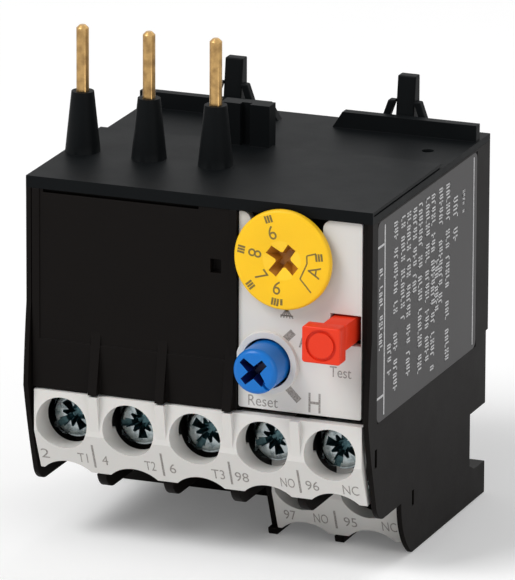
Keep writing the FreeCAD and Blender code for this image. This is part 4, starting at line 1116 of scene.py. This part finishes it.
@dataclass
class SettingDial:
    """Yellow setting dial: disc with a coned screwdriver cross, hub, spindle and printed scale."""

    finishes: Finishes
    printer: Printer
    node: str = "setting_dial"
    body: str = "dial"
    rim_round: float = 0.34
    rim_steps: int = 6
    chamfer: float = 0.15
    disc: float = 1.0
    cone: Pair = (2.45, 0.45)
    cone_floor: float = 1.0
    # Depth band of the painted light on the cone; the painted shade starts at its far end.
    shades: Pair = (0.12, 0.4)
    hub: Pair = (2.7, 2.6)
    spindle: Pair = (1.5, 9.6)
    arms: tuple[float, ...] = (54.0, 144.0, 234.0, 324.0)
    arm: Pair = (2.25, 1.25)
    root: float = 1.0
    recess: Pair = (1.7, 0.5)
    digits: tuple[tuple[str, float, float], ...] = (
        ("6", -0.62, -3.55), ("7", -2.72, -2.19), ("8", -3.57, 0.6), ("9", -1.31, 3.45))
    digit_height: float = 1.8
    digit_width: float = 0.92
    letter: tuple[str, Pair, float, float] = ("A", (4.25, -1.0), 1.7, 80.0)
    squares: tuple[float, ...] = (9.2, 49.5, 99.9, 160.8)
    square_radius: float = 5.3
    stripe: Triple = (0.26, 0.92, 0.35)
    last_square: tuple[Pair, float] = ((4.78, 0.87), 8.0)
    small_bar: tuple[Pair, Pair] = ((0.3, 0.78), (-0.02, -5.2))
    bracket: tuple[Pair, ...] = (
        (4.4, 1.34), (3.22, 0.95), (3.25, -0.04), (2.37, -2.01), (3.79, -3.61))
    bracket_stroke: float = 0.18

    def build(self) -> Thing:
        """Makes the dial and its scale.

        Returns:
            The dial.
        """
        low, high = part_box(self.node)
        self.centre = Surface.front_centre(self.node)
        dial = Workshop.turned("dial_disc", self.centre, self._profile((high.x - low.x) / 2 / MM))
        arms = [(angle, *self.arm) for angle in self.arms]
        Workshop.cut(dial, [Workshop.star(self.centre, arms, self.root, *self.recess)])
        self.finishes.dress(dial, Finishes.YELLOW)
        # Painted light on the cone and painted shade deep in the cross recess, chosen by depth.
        deep = (self.shades[1], self.recess[0] + Workshop.OVERCUT)
        for finish, depth in ((Finishes.CONE_PAINTED_LIGHT, self.shades), (Finishes.DIAL_RECESS_PAINTED_SHADE, deep)):
            self.finishes.paint_recess_shading(dial, finish, self.centre, self.cone[0], depth)
        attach(dial, self.body)
        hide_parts(self.node)
        self._scale()
        log.info("dial made, %d faces", len(dial.data.polygons))
        return dial

    def _profile(self, radius: float) -> list[Pair]:
        """Section of the dial.

        Args:
            radius: The disc's radius in millimetres.

        Returns:
            Section from axis to axis.
        """
        section = [(0.0, self.cone[1]), (self.cone_floor, self.cone[1]), (self.cone[0], 0.0)]
        section += Workshop.rim(radius, self.rim_round, self.rim_steps)
        section += [(radius, self.disc - self.chamfer), (radius - self.chamfer, self.disc)]
        section += [(self.hub[0], self.disc), self.hub, (self.spindle[0], self.hub[1])]
        return section + [self.spindle, (0.0, self.spindle[1])]

    def _at(self, across: float, up: float) -> Vector:
        """Place on the dial's face, in metres, from its centre."""
        return self.centre + Vector((across, 0.0, up)) * MM

    def _square(self, spot: Vector, turn: float) -> list[Thing]:
        """Index square of three stripes.

        Args:
            spot: Its middle, in metres.
            turn: Its turn in degrees.

        Returns:
            The stripes.
        """
        width, height, pitch = self.stripe
        along = Workshop.spoke(turn, pitch) * MM
        return [self.printer.bar((width, height), spot + along * step, turn=turn)
                for step in (-1, 0, 1)]

    def _scale(self) -> None:
        """Prints the plain numbers, index squares and the hand-set letter's bracket."""
        marks = []
        for digit, across, up in self.digits:
            turn = math.degrees(math.atan2(-up, -across)) - 90
            marks.append(self.printer.text(digit, self._at(across, up), self.digit_height,
                                           turn=turn, width=self.digit_width))
        for angle in self.squares:
            spot = self.centre + Workshop.spoke(-90 - angle, self.square_radius) * MM
            marks += self._square(spot, -angle)
        place, turn = self.last_square
        marks += self._square(self._at(*place), turn)
        size, place = self.small_bar
        marks.append(self.printer.bar(size, self._at(*place)))
        marks.append(self.printer.line(self.bracket, self.bracket_stroke, self.centre))
        words, place, height, turn = self.letter
        marks.append(self.printer.text(words, self._at(*place), height, turn=turn))
        self.printer.printed("dial_scale", marks, Finishes.DIAL_INK, self.body)


@dataclass
class ResetKnob:
    """Blue reset knob with round rim, screwdriver cross, pointer groove, keyed shaft and collar."""

    finishes: Finishes
    node: str = "reset_button"
    body: str = "reset_knob"
    radius: float = 2.85
    rim_round: float = 0.72
    rim_steps: int = 9
    head: float = 7.6
    shaft: Pair = (1.6, 23.1)
    collar: Pair = (15.7, 16.3)
    key: Triple = (1.0, 1.2, 2.3)
    key_round: float = 0.08
    chamfers: Pair = (0.1, 0.3)
    arms: tuple[Triple, ...] = (
        (-50.0, 1.95, 0.72), (45.0, 1.9, 0.95), (139.0, 2.15, 0.8), (222.0, 1.95, 0.95))
    root: float = 0.8
    recess: Pair = (2.6, 0.55)
    groove: tuple[float, float, float, float] = (1.0, 0.2, 0.34, 0.75)
    shade_from: float = 0.2

    def build(self) -> Thing:
        """Makes the knob.

        Returns:
            The knob.
        """
        centre = Surface.front_centre(self.node)
        knob = Workshop.turned("reset_knob_head", centre, self._profile())
        start, past, width, depth = self.groove
        cutters = [Workshop.star(centre, self.arms, self.root, *self.recess),
                   Workshop.slot(centre, start, self.radius + past, width, depth, self.arms[0][0])]
        Workshop.cut(knob, cutters)
        width, low, high = self.key
        key = Workshop.block("reset_knob_key", centre + Vector((-width / 2, self.head, low)) * MM,
                             centre + Vector((width / 2, self.collar[0], high)) * MM)
        Workshop.rounded(key, self.key_round)
        for piece in (knob, key):
            self.finishes.dress(piece, Finishes.BLUE)
            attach(piece, self.body)
        # Painted shade on the faces deep in the cross recess.
        depth = (self.shade_from, self.recess[0] + Workshop.OVERCUT)
        self.finishes.paint_recess_shading(knob, Finishes.KNOB_RECESS_PAINTED_SHADE, centre, self.arms[0][1], depth)
        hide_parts(self.node)
        log.info("reset knob made, %d faces", len(knob.data.polygons))
        return knob

    def _profile(self) -> list[Pair]:
        """Section of the knob.

        Returns:
            Section from axis to axis.
        """
        head, end = self.chamfers
        thin, length = self.shaft
        section = [(0.0, 0.0), *Workshop.rim(self.radius, self.rim_round, self.rim_steps)]
        section += [(self.radius, self.head - head), (self.radius - head, self.head)]
        section += [(thin, self.head), (thin, self.collar[0]), (self.radius, self.collar[0])]
        section += [(self.radius, self.collar[1]), (thin, self.collar[1]), (thin, length - end)]
        return section + [(thin - end, length), (0.0, length)]


@dataclass
class TestButton:
    """Red test button: softly rounded head with a ring groove, on its moulded stem."""

    finishes: Finishes
    node: str = "test_button"
    body: str = "test_plunger"
    head: Triple = (4.95, 1.9, 4.6)
    corner: float = 0.4
    edge: float = 0.22
    ring: Triple = (1.98, 1.58, 0.32)
    overlap: float = 0.04
    clearance: float = 0.002
    stem_round: float = 0.1

    def build(self) -> Thing:
        """Makes the button.

        Returns:
            The head.
        """
        low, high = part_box(self.node)
        width, thick, height = self.head
        foot = Vector((low.x, low.y, high.z - height * MM))
        top = Vector((low.x + width * MM, low.y + (thick + self.overlap) * MM, high.z))
        head = Workshop.slab("test_button_head", foot, top, self.corner, self.edge)
        centre = Vector(((foot.x + top.x) / 2, low.y, (foot.z + top.z) / 2))
        outer, inner, depth = self.ring
        front = -Workshop.OVERCUT
        section = [(outer, front), (inner, front), (inner, depth), (outer, depth), (outer, front)]
        Workshop.cut(head, [Workshop.turned("cutter", centre, section)])
        stem = Workshop.copy_of(self.node, "test_button_stem")
        Workshop.behind(stem, low.y + (thick + self.clearance) * MM)
        Workshop.rounded(stem, self.stem_round)
        for piece in (head, stem):
            self.finishes.dress(piece, Finishes.RED)
            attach(piece, self.body)
        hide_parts(self.node)
        log.info("test button made, %d and %d faces", len(head.data.polygons),
                 len(stem.data.polygons))
        return head


@dataclass
class ReturnSpring:
    """Coil spring behind a button; the share of its length kept when the button is pushed is only
    worked out and logged.
    """

    finishes: Finishes
    node: str
    joint: str
    body: str = "housing"
    travel: float = 2.1
    smooth_below: float = 60.0

    def build(self) -> Thing:
        """Makes the spring.

        Returns:
            The spring.
        """
        low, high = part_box(self.node)
        spring = Workshop.copy_of(self.node, f"{self.node}_coil")
        Workshop.smooth(spring, self.smooth_below)
        self.finishes.dress(spring, Finishes.SPRING)
        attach(spring, self.body)
        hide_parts(self.node)
        keep = 1.0 - self.travel * MM / (high.y - low.y)
        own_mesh(spring)
        log.info("%s made, kept to %.2f of its length when pushed", spring.name, keep)
        return spring


@dataclass
class TerminalScrew:
    """Zinc-plated combination screw: slot and ribbed cross in a rounded head, threaded shank."""

    finishes: Finishes
    number: int
    angle: float
    radius: float = 2.95
    head: float = 2.0
    length: float = 9.0
    crown: tuple[Pair, ...] = (
        (0.0, 0.12), (1.3, 0.05), (2.2, 0.0), (2.6, 0.06), (2.85, 0.22), (2.95, 0.45))
    chamfer: float = 0.1
    shank: Pair = (1.75, 1.45)
    pitch: float = 0.6
    plain_end: float = 0.4
    slot: Pair = (0.8, 0.8)
    slot_past: float = 0.2
    arm: Pair = (2.1, 1.3)
    rib: Pair = (1.65, 0.3)
    root: float = 1.02
    recess: Pair = (1.75, 0.5)
    shade: Triple = (0.3, 0.3, 0.05)

    def build(self) -> Thing:
        """Makes the screw.

        Returns:
            The screw.
        """
        node = f"terminal_screw_{self.number}"
        centre = Surface.front_centre(node)
        screw = Workshop.turned(f"clamp_screw_{self.number}", centre, self._profile())
        arms = []
        for turn in (0.0, 90.0, 180.0, 270.0):
            arms += [(self.angle + turn, *self.arm), (self.angle + turn + 45.0, *self.rib)]
        past = self.radius + self.slot_past
        Workshop.cut(screw, [Workshop.slot(centre, -past, past, *self.slot, self.angle),
                             Workshop.star(centre, arms, self.root, *self.recess)])
        self.finishes.dress(screw, Finishes.ZINC)
        # Painted shade on the faces deep in the slot and cross recess.
        rim, start, below = self.shade
        self.finishes.paint_recess_shading(screw, Finishes.SCREW_RECESS_PAINTED_SHADE, centre, self.radius - rim,
                            (start, self.recess[0] + below))
        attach(screw, f"screw_{self.number}")
        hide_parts(node)
        return screw

    def _profile(self) -> list[Pair]:
        """Section of the screw with its thread.

        Returns:
            Section from axis to axis.
        """
        crest, root = self.shank
        section = [*self.crown, (self.radius, self.head - self.chamfer)]
        section += [(self.radius - self.chamfer, self.head), (crest, self.head)]
        along = self.head + self.pitch
        while along + self.pitch < self.length - self.plain_end:
            section += [(crest, along), (root, along + self.pitch / 2)]
            along += self.pitch
        return section + [(crest, along), (root, self.length), (0.0, self.length)]


@dataclass
class PanelMarks:
    """Plain function marks on the light control panel, placed from the panel's outer corner."""

    printer: Printer
    node: str = "control_panel"
    words: tuple[tuple[str, float, float, float, float], ...] = (
        ("Reset", 3.15, -23.75, 1.42, 0.9), ("Test", 13.21, -18.99, 1.42, 0.8),
        ("H", 9.88, -23.3, 2.65, 0.74), ("A", 8.65, -15.3, 2.55, 0.74))
    strokes: tuple[tuple[float, float, float, float], ...] = (
        (5.35, -16.3, 7.09, -14.5), (6.31, -21.53, 7.87, -23.12))
    stroke_width: float = 0.9
    arrow: tuple[Pair, ...] = ((5.42, -12.85), (6.22, -11.66), (7.06, -12.85))
    arrow_lines: int = 5
    arrow_stroke: float = 0.17
    arrow_base: float = 0.3

    def build(self) -> Thing:
        """Prints the marks.

        Returns:
            The inked piece.
        """
        low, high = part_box(self.node)
        left, top = low.x, high.z
        marks = []
        for words, across, up, height, width in self.words:
            place, lean = Surface.landing(self.node, left + across * MM, top + up * MM)
            marks.append(self.printer.text(words, place, height, width=width, lean=lean))
        face = Vector((left, place.y, top))
        for x0, z0, x1, z1 in self.strokes:
            marks.append(self.printer.line([(x0, z0), (x1, z1)], self.stroke_width, face))
        (x0, z0), tip, (x1, z1) = self.arrow
        for step in range(self.arrow_lines):
            share = step / (self.arrow_lines - 1)
            foot = (x0 + (x1 - x0) * share, z0 + (z1 - z0) * share)
            marks.append(self.printer.line([tip, foot], self.arrow_stroke, face))
        base = [(x0, z0 + self.arrow_base), (x1, z1 + self.arrow_base)]
        marks.append(self.printer.line(base, self.arrow_stroke, face))
        return self.printer.printed("panel_marks", marks, Finishes.DARK_INK, "housing")


@dataclass
class DeckMarks:
    """Standard terminal numbers, with ticks between them, on the sloping foot of a deck."""

    printer: Printer
    node: str
    name: str
    row: float
    words: tuple[tuple[str, float, float], ...]
    ticks: tuple[float, ...]
    tick_span: Pair
    height: float = 1.5
    tick_width: float = 0.28
    most_stretch: float = 1.25

    def build(self) -> Thing:
        """Prints the marks.

        Returns:
            The inked piece.
        """
        marks = []
        for words, start, end in self.words:
            place, lean = Surface.landing(self.node, (start + end) / 2 * MM, self.row * MM)
            mark = self.printer.text(words, place, self.height, lean=lean)
            marks.append(self._fitted(mark, start * MM, end * MM))
        for x in self.ticks:
            place, lean = Surface.landing(self.node, x * MM, sum(self.tick_span) / 2 * MM)
            length = (self.tick_span[1] - self.tick_span[0]) / math.cos(math.radians(lean))
            marks.append(self.printer.bar((self.tick_width, length), place, lean=lean))
        return self.printer.printed(self.name, marks, Finishes.DARK_INK, "housing")

    def _fitted(self, mark: Thing, start: float, end: float) -> Thing:
        """Stretches a mark sideways so that it runs from one place to another.

        Args:
            mark: The mark.
            start: Left end, in metres.
            end: Right end, in metres.

        Returns:
            The same mark.
        """
        across = [vertex.co.x for vertex in mark.data.vertices]
        low, high = min(across), max(across)
        factor = min(self.most_stretch, (end - start) / (high - low))
        middle = (start + end) / 2
        for vertex in mark.data.vertices:
            vertex.co.x = middle + (vertex.co.x - (low + high) / 2) * factor
        return mark


@dataclass
class RatingLabel:
    """Grey film on the right side with rules, cross ticks and rows of plain strokes as print."""

    finishes: Finishes
    printer: Printer
    node: str = "rating_label"
    print_depth: float = 0.02
    corner: float = 1.0
    corner_steps: int = 6
    front: float = 1.9
    rows: tuple[Triple, ...] = (
        (6.0, 16.2, 20.9), (8.1, 1.35, 13.9), (8.1, 15.4, 22.8), (10.6, 1.35, 15.3),
        (12.6, 1.35, 22.1), (14.7, 1.4, 12.2), (16.7, 1.3, 23.7), (19.2, 1.3, 22.8),
        (21.2, 1.35, 23.8), (23.9, 1.3, 6.6), (23.9, 8.0, 17.1), (22.55, 10.1, 17.0),
        (26.4, 1.4, 15.2), (26.4, 16.4, 19.0), (26.4, 20.0, 24.0))
    print_height: float = 1.35
    letter: Pair = (0.84, 0.56)
    stroke: float = 0.2
    words: tuple[int, ...] = (5, 3, 7, 2, 4, 6, 3)
    sides: tuple[float, ...] = (-0.5, 0.5, 0.0, 0.5, -0.5)
    side_step: int = 2
    open_one_in: int = 3
    rules: tuple[tuple[float, float, float, float], ...] = (
        (4.3, 0.7, 24.6, 0.32), (35.7, 0.5, 24.6, 0.26))
    ticks: Pair = (3.1, 22.1)
    tick_width: float = 0.28
    other_rows: tuple[tuple[float, float, float, float], ...] = (
        (3.05, 5.9, 17.3, 1.2), (29.1, 3.8, 10.2, 1.6), (32.1, 3.7, 6.6, 0.8))

    def build(self) -> Thing:
        """Makes the film and its print.

        Returns:
            The film.
        """
        self.low, self.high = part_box(self.node)
        film = self._film()
        self.finishes.dress(film, Finishes.FILM)
        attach(film, "housing")
        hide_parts(self.node)
        marks = []
        for back, start, end in self.rows:
            marks += self._row(back, start, end, self.print_height)
        for back, start, end, height in self.other_rows:
            marks += self._row(back, start, end, height)
        for back, start, end, width in self.rules:
            marks.append(self._bar(back, start, end, width))
        reach, half = self.rules[0][0] - self.front, self.tick_width / 2
        for down in self.ticks:
            marks.append(self._bar(self.front + reach / 2, down - half, down + half, reach))
        self.printer.printed("label_print", marks, Finishes.WHITE_INK, "housing")
        log.info("label made, %d faces", len(film.data.polygons))
        return film

    def _film(self) -> Thing:
        """Round-cornered plate just under the print.

        Returns:
            The plate.
        """
        low, high = self.low, self.high
        outline = Workshop.cornered((low.y, low.z), (high.y, high.z), self.corner, 0.0,
                                    self.corner_steps)
        loops = [[Vector((x, y, z)) for y, z in outline]
                 for x in (low.x, high.x - self.print_depth * MM)]
        return Workshop.extruded("label_film", loops)

    def _bar(self, back: float, start: float, end: float, width: float) -> Thing:
        """Upright bar of print.

        Args:
            back: Distance of its middle behind the housing's front, in millimetres.
            start: Upper end below the label's top edge, in millimetres.
            end: Lower end below the label's top edge, in millimetres.
            width: Width of the bar, in millimetres.

        Returns:
            The bar.
        """
        place = Vector((self.high.x - self.print_depth * MM / 2,
                        self.low.y + (back - self.front) * MM,
                        self.high.z - (start + end) / 2 * MM))
        return self.printer.bar((width, end - start), place, facing=Facing.RIGHT)

    def _row(self, back: float, start: float, end: float, height: float) -> list[Thing]:
        """Row of plain strokes in groups, which stands for a line of small print.

        Args:
            back: Distance of its middle behind the housing's front, in millimetres.
            start: Upper end below the label's top edge.
            end: Lower end below the label's top edge.
            height: Height of the strokes across the row.

        Returns:
            The strokes.
        """
        marks = []
        pitch, length = (size * height / self.print_height for size in self.letter)
        place, count, word = start, 0, int(back)
        while place + length < end:
            marks.append(self._bar(back, place, place + self.stroke, height))
            side = self.sides[(count * self.side_step + word) % len(self.sides)]
            across = side * (height - self.stroke)
            marks.append(self._bar(back + across, place, place + length, self.stroke))
            if (count + word) % self.open_one_in != 1:
                marks.append(self._bar(back, place + length - self.stroke, place + length, height))
            place += pitch
            count += 1
            if count >= self.words[word % len(self.words)]:
                place, count, word = place + pitch, 0, word + 1
        return marks


@dataclass
class CadPieces:
    """All pieces whose CAD shape is shown as it is, dressed and with their edges eased."""

    finishes: Finishes
    eased: dict[str, float] = field(default_factory=lambda: {
        "housing_body": 0.16, "top_cover": 0.14, "front_cover": 0.12, "control_panel": 0.12,
        "terminal_cover": 0.14, "lower_terminal_cover": 0.14, "terminal_block": 0.08,
        "lower_terminal_block": 0.08, "latch_left": 0.14, "latch_right": 0.14,
        "reset_sleeve": 0.08})
    small_edge: float = 0.05
    weld_below: float = 0.002
    flat_below: float = 0.5
    ease_above: float = 35.0

    STARTS = (
        (("control_panel", "terminal_cover", "lower_terminal_cover"), Finishes.WHITE),
        (("contact_pin",), Finishes.BRASS),
        (("main_strap", "opener", "closer"), Finishes.TINNED),
        (("bimetal",), Finishes.BIMETAL),
        (("heater",), Finishes.HEATER),
        (("terminal_screw", "screw_clamp", "rocker_pin", "crank_pin"), Finishes.ZINC),
        (("reset_spring", "test_spring"), Finishes.SPRING),
        (("setting_dial",), Finishes.YELLOW),
        (("reset_button",), Finishes.BLUE),
        (("test_button",), Finishes.RED),
        (("rating_label",), Finishes.FILM),
        (("trip_slider", "crank_lever", "contact_rocker", "setting_cam", "adjusting_lever",
          "mechanism_frame"), Finishes.NATURAL),
        # Lid and latches get the black with its painted reflection tint.
        (("latch", "top_cover"), Finishes.LID_BLACK_PAINTED_REFLECTION),
    )

    def build(self) -> None:
        """Dresses every node and eases its edges."""
        for name, thing in frame["nodes"].items():
            finish = next((finish for starts, finish in self.STARTS if name.startswith(starts)),
                          Finishes.BLACK)
            self.finishes.dress(thing, finish)
            self._ease(thing, self.eased.get(name, self.small_edge))
        log.info("%d CAD pieces dressed", len(frame["nodes"]))

    def _ease(self, thing: Thing, radius: float) -> None:
        """Eases the edges of a piece by modifiers alone.

        Args:
            thing: The piece.
            radius: Width of the easing in millimetres.
        """
        weld = thing.modifiers.new("weld", "WELD")
        weld.merge_threshold = self.weld_below * MM
        Workshop.eased(thing, radius, self.flat_below, self.ease_above)
        normals = thing.modifiers.new("normals", "WEIGHTED_NORMAL")
        normals.keep_sharp = True


@dataclass
class Studio:
    """Pale floor and backdrop, soft light from the upper left, and the camera."""

    focal: float = 597.53
    sensor: float = 36.0
    target: Triple = (0.0, 1.55, 27.1)
    azimuth: float = 21.20
    elevation: float = 16.50
    roll: float = 0.0040637
    shift: Pair = (0.013413, -2.366774)
    distance: float = 1053.2548
    clip: Pair = (0.05, 20.0)
    lamps: tuple[tuple[str, Triple, float, float], ...] = (
        ("key", (-520.0, -620.0, 820.0), 520.0, 8.5),
        ("fill", (760.0, -420.0, 320.0), 600.0, 2.0),
        ("rim", (120.0, 640.0, 760.0), 420.0, 2.0))
    aim: Triple = (0.0, 0.0, 30.0)
    floor_size: float = 3.0
    floor_lift: float = 0.12
    floor_gap: float = 0.05
    floor_grain: float = 40.0
    floor_shades: Pair = (0.93, 0.95)
    floor_roughness: float = 0.9
    floor_shine: float = 0.1
    sky: float = 0.36

    def build(self) -> None:
        """Makes the camera, the lamps, the floor and the world."""
        self._camera()
        for lamp in self.lamps:
            self._lamp(*lamp)
        self._floor()
        self._world()
        bpy.context.scene.view_settings.view_transform = "Standard"
        log.info("studio ready")

    def _camera(self) -> None:
        """Camera to the right and above, far enough away to look nearly parallel."""
        azimuth, elevation = math.radians(self.azimuth), math.radians(self.elevation)
        level = Vector((math.cos(azimuth), math.sin(azimuth), 0.0))
        ahead = Vector((-math.sin(azimuth), math.cos(azimuth), 0.0)) * math.cos(elevation)
        forward = ahead - Vector((0.0, 0.0, math.sin(elevation)))
        plumb = level.cross(forward)
        across = level * math.cos(self.roll) + plumb * math.sin(self.roll)
        up = plumb * math.cos(self.roll) - level * math.sin(self.roll)
        place = Vector(self.target) - across * self.shift[0] - up * self.shift[1]
        place -= forward * self.distance
        data = bpy.data.cameras.new("camera")
        data.lens = self.focal
        data.sensor_width = self.sensor
        data.sensor_fit = "HORIZONTAL"
        data.clip_start, data.clip_end = self.clip
        camera = bpy.data.objects.new("camera", data)
        turn = Matrix((across, up, -forward)).transposed()
        camera.matrix_world = Matrix.Translation(place * MM) @ turn.to_4x4()
        bpy.context.scene.collection.objects.link(camera)
        bpy.context.scene.camera = camera

    def _lamp(self, name: str, place: Triple, size: float, power: float) -> None:
        """Square area lamp aimed at the relay.

        Args:
            name: Name of the lamp.
            place: Its place in millimetres.
            size: Its side in millimetres.
            power: Its power in watts.
        """
        data = bpy.data.lights.new(name, "AREA")
        data.size = size * MM
        data.energy = power
        lamp = bpy.data.objects.new(name, data)
        lamp.location = Vector(place) * MM
        aim = Vector(self.aim) * MM - lamp.location
        lamp.rotation_euler = aim.to_track_quat("-Z", "Y").to_euler()
        bpy.context.scene.collection.objects.link(lamp)

    def _floor(self) -> None:
        """White floor under the relay."""
        half = self.floor_size / 2
        corners = ((-half, -half), (half, -half), (half, half), (-half, half))
        shape = bmesh.new()
        shape.faces.new([shape.verts.new((x, y, -self.floor_gap * MM)) for x, y in corners])
        floor = Workshop.linked("floor", shape)
        graph = SurfaceGraph("pale_floor")
        dark, pale = ((shade,) * 3 for shade in self.floor_shades)
        tint = graph.between(graph.noise(self.floor_grain), dark, pale)
        path = graph.node("ShaderNodeLightPath")
        seen = Value(graph, path.outputs["Is Camera Ray"])
        lift = graph.between(seen, (0.0, 0.0, 0.0), (self.floor_lift,) * 3)
        graph.surface(Base_Color=tint, Roughness=self.floor_roughness,
                      Specular_IOR_Level=self.floor_shine, Emission_Color=lift,
                      Emission_Strength=1.0)
        floor.data.materials.append(graph.material)

    def _world(self) -> None:
        """White to the camera and to reflections, a softer grey as a source of light."""
        world = bpy.data.worlds.new("studio")
        bpy.context.scene.world = world
        world.use_nodes = True
        graph = Graph(world.node_tree)
        path = graph.node("ShaderNodeLightPath")
        seen = Value(graph, path.outputs["Is Camera Ray"])
        for ray in ("Is Glossy Ray", "Is Transmission Ray"):
            seen = seen.at_least(Value(graph, path.outputs[ray]))
        strength = self.sky + seen * (1.0 - self.sky)
        background = graph.node("ShaderNodeBackground", {},
                                {"Color": (1.0, 1.0, 1.0), "Strength": strength})
        graph.node("ShaderNodeOutputWorld", {}, {"Surface": background.outputs[0]})


@dataclass
class Relay:
    """The whole relay as its sub-assemblies."""

    screw_angles: tuple[float, ...] = (35.0, 8.0, 62.0, 20.0, 75.0, 15.0, 50.0)

    def build(self) -> None:
        """Builds and dresses everything."""
        finishes = Finishes()
        printer = Printer(finishes)
        SettingDial(finishes, printer).build()
        ResetKnob(finishes).build()
        TestButton(finishes).build()
        ReturnSpring(finishes, "reset_spring", "reset_push").build()
        ReturnSpring(finishes, "test_spring", "test_push").build()
        for number, angle in enumerate(self.screw_angles, start=1):
            TerminalScrew(finishes, number, angle).build()
        log.info("%d terminal screws made", len(self.screw_angles))
        PanelMarks(printer).build()
        self._decks(printer)
        RatingLabel(finishes, printer).build()
        CadPieces(finishes).build()

    @staticmethod
    def _decks(printer: Printer) -> None:
        """Marks of the two terminal decks.

        Args:
            printer: Makes the marks.
        """
        upper = (("2", -21.05, -19.95), ("T1", -16.15, -14.84), ("4", -12.98, -12.16),
                 ("T2", -7.33, -5.88), ("6", -4.07, -3.24), ("T3", 1.46, 3.15),
                 ("98", 4.51, 6.29), ("NO", 10.44, 12.27), ("96", 13.69, 15.41),
                 ("NC", 18.5, 20.58))
        lower = (("97", 6.01, 7.57), ("NO", 9.93, 11.8), ("95", 13.89, 15.6),
                 ("NC", 18.88, 20.82))
        DeckMarks(printer, "terminal_cover", "upper_deck_marks", 11.57, upper,
                  (-14.0, -4.95, 3.95, 12.9), (10.4, 13.7)).build()
        DeckMarks(printer, "lower_terminal_cover", "lower_deck_marks", 3.1, lower,
                  (12.8,), (2.0, 4.6)).build()


def main() -> None:
    """Builds the relay and the studio, and notes how large the result is."""
    logging.basicConfig(level=logging.INFO, format="%(name)s: %(message)s")
    Relay().build()
    Studio().build()
    bpy.context.view_layer.update()


if __name__ == "__main__":
    main()
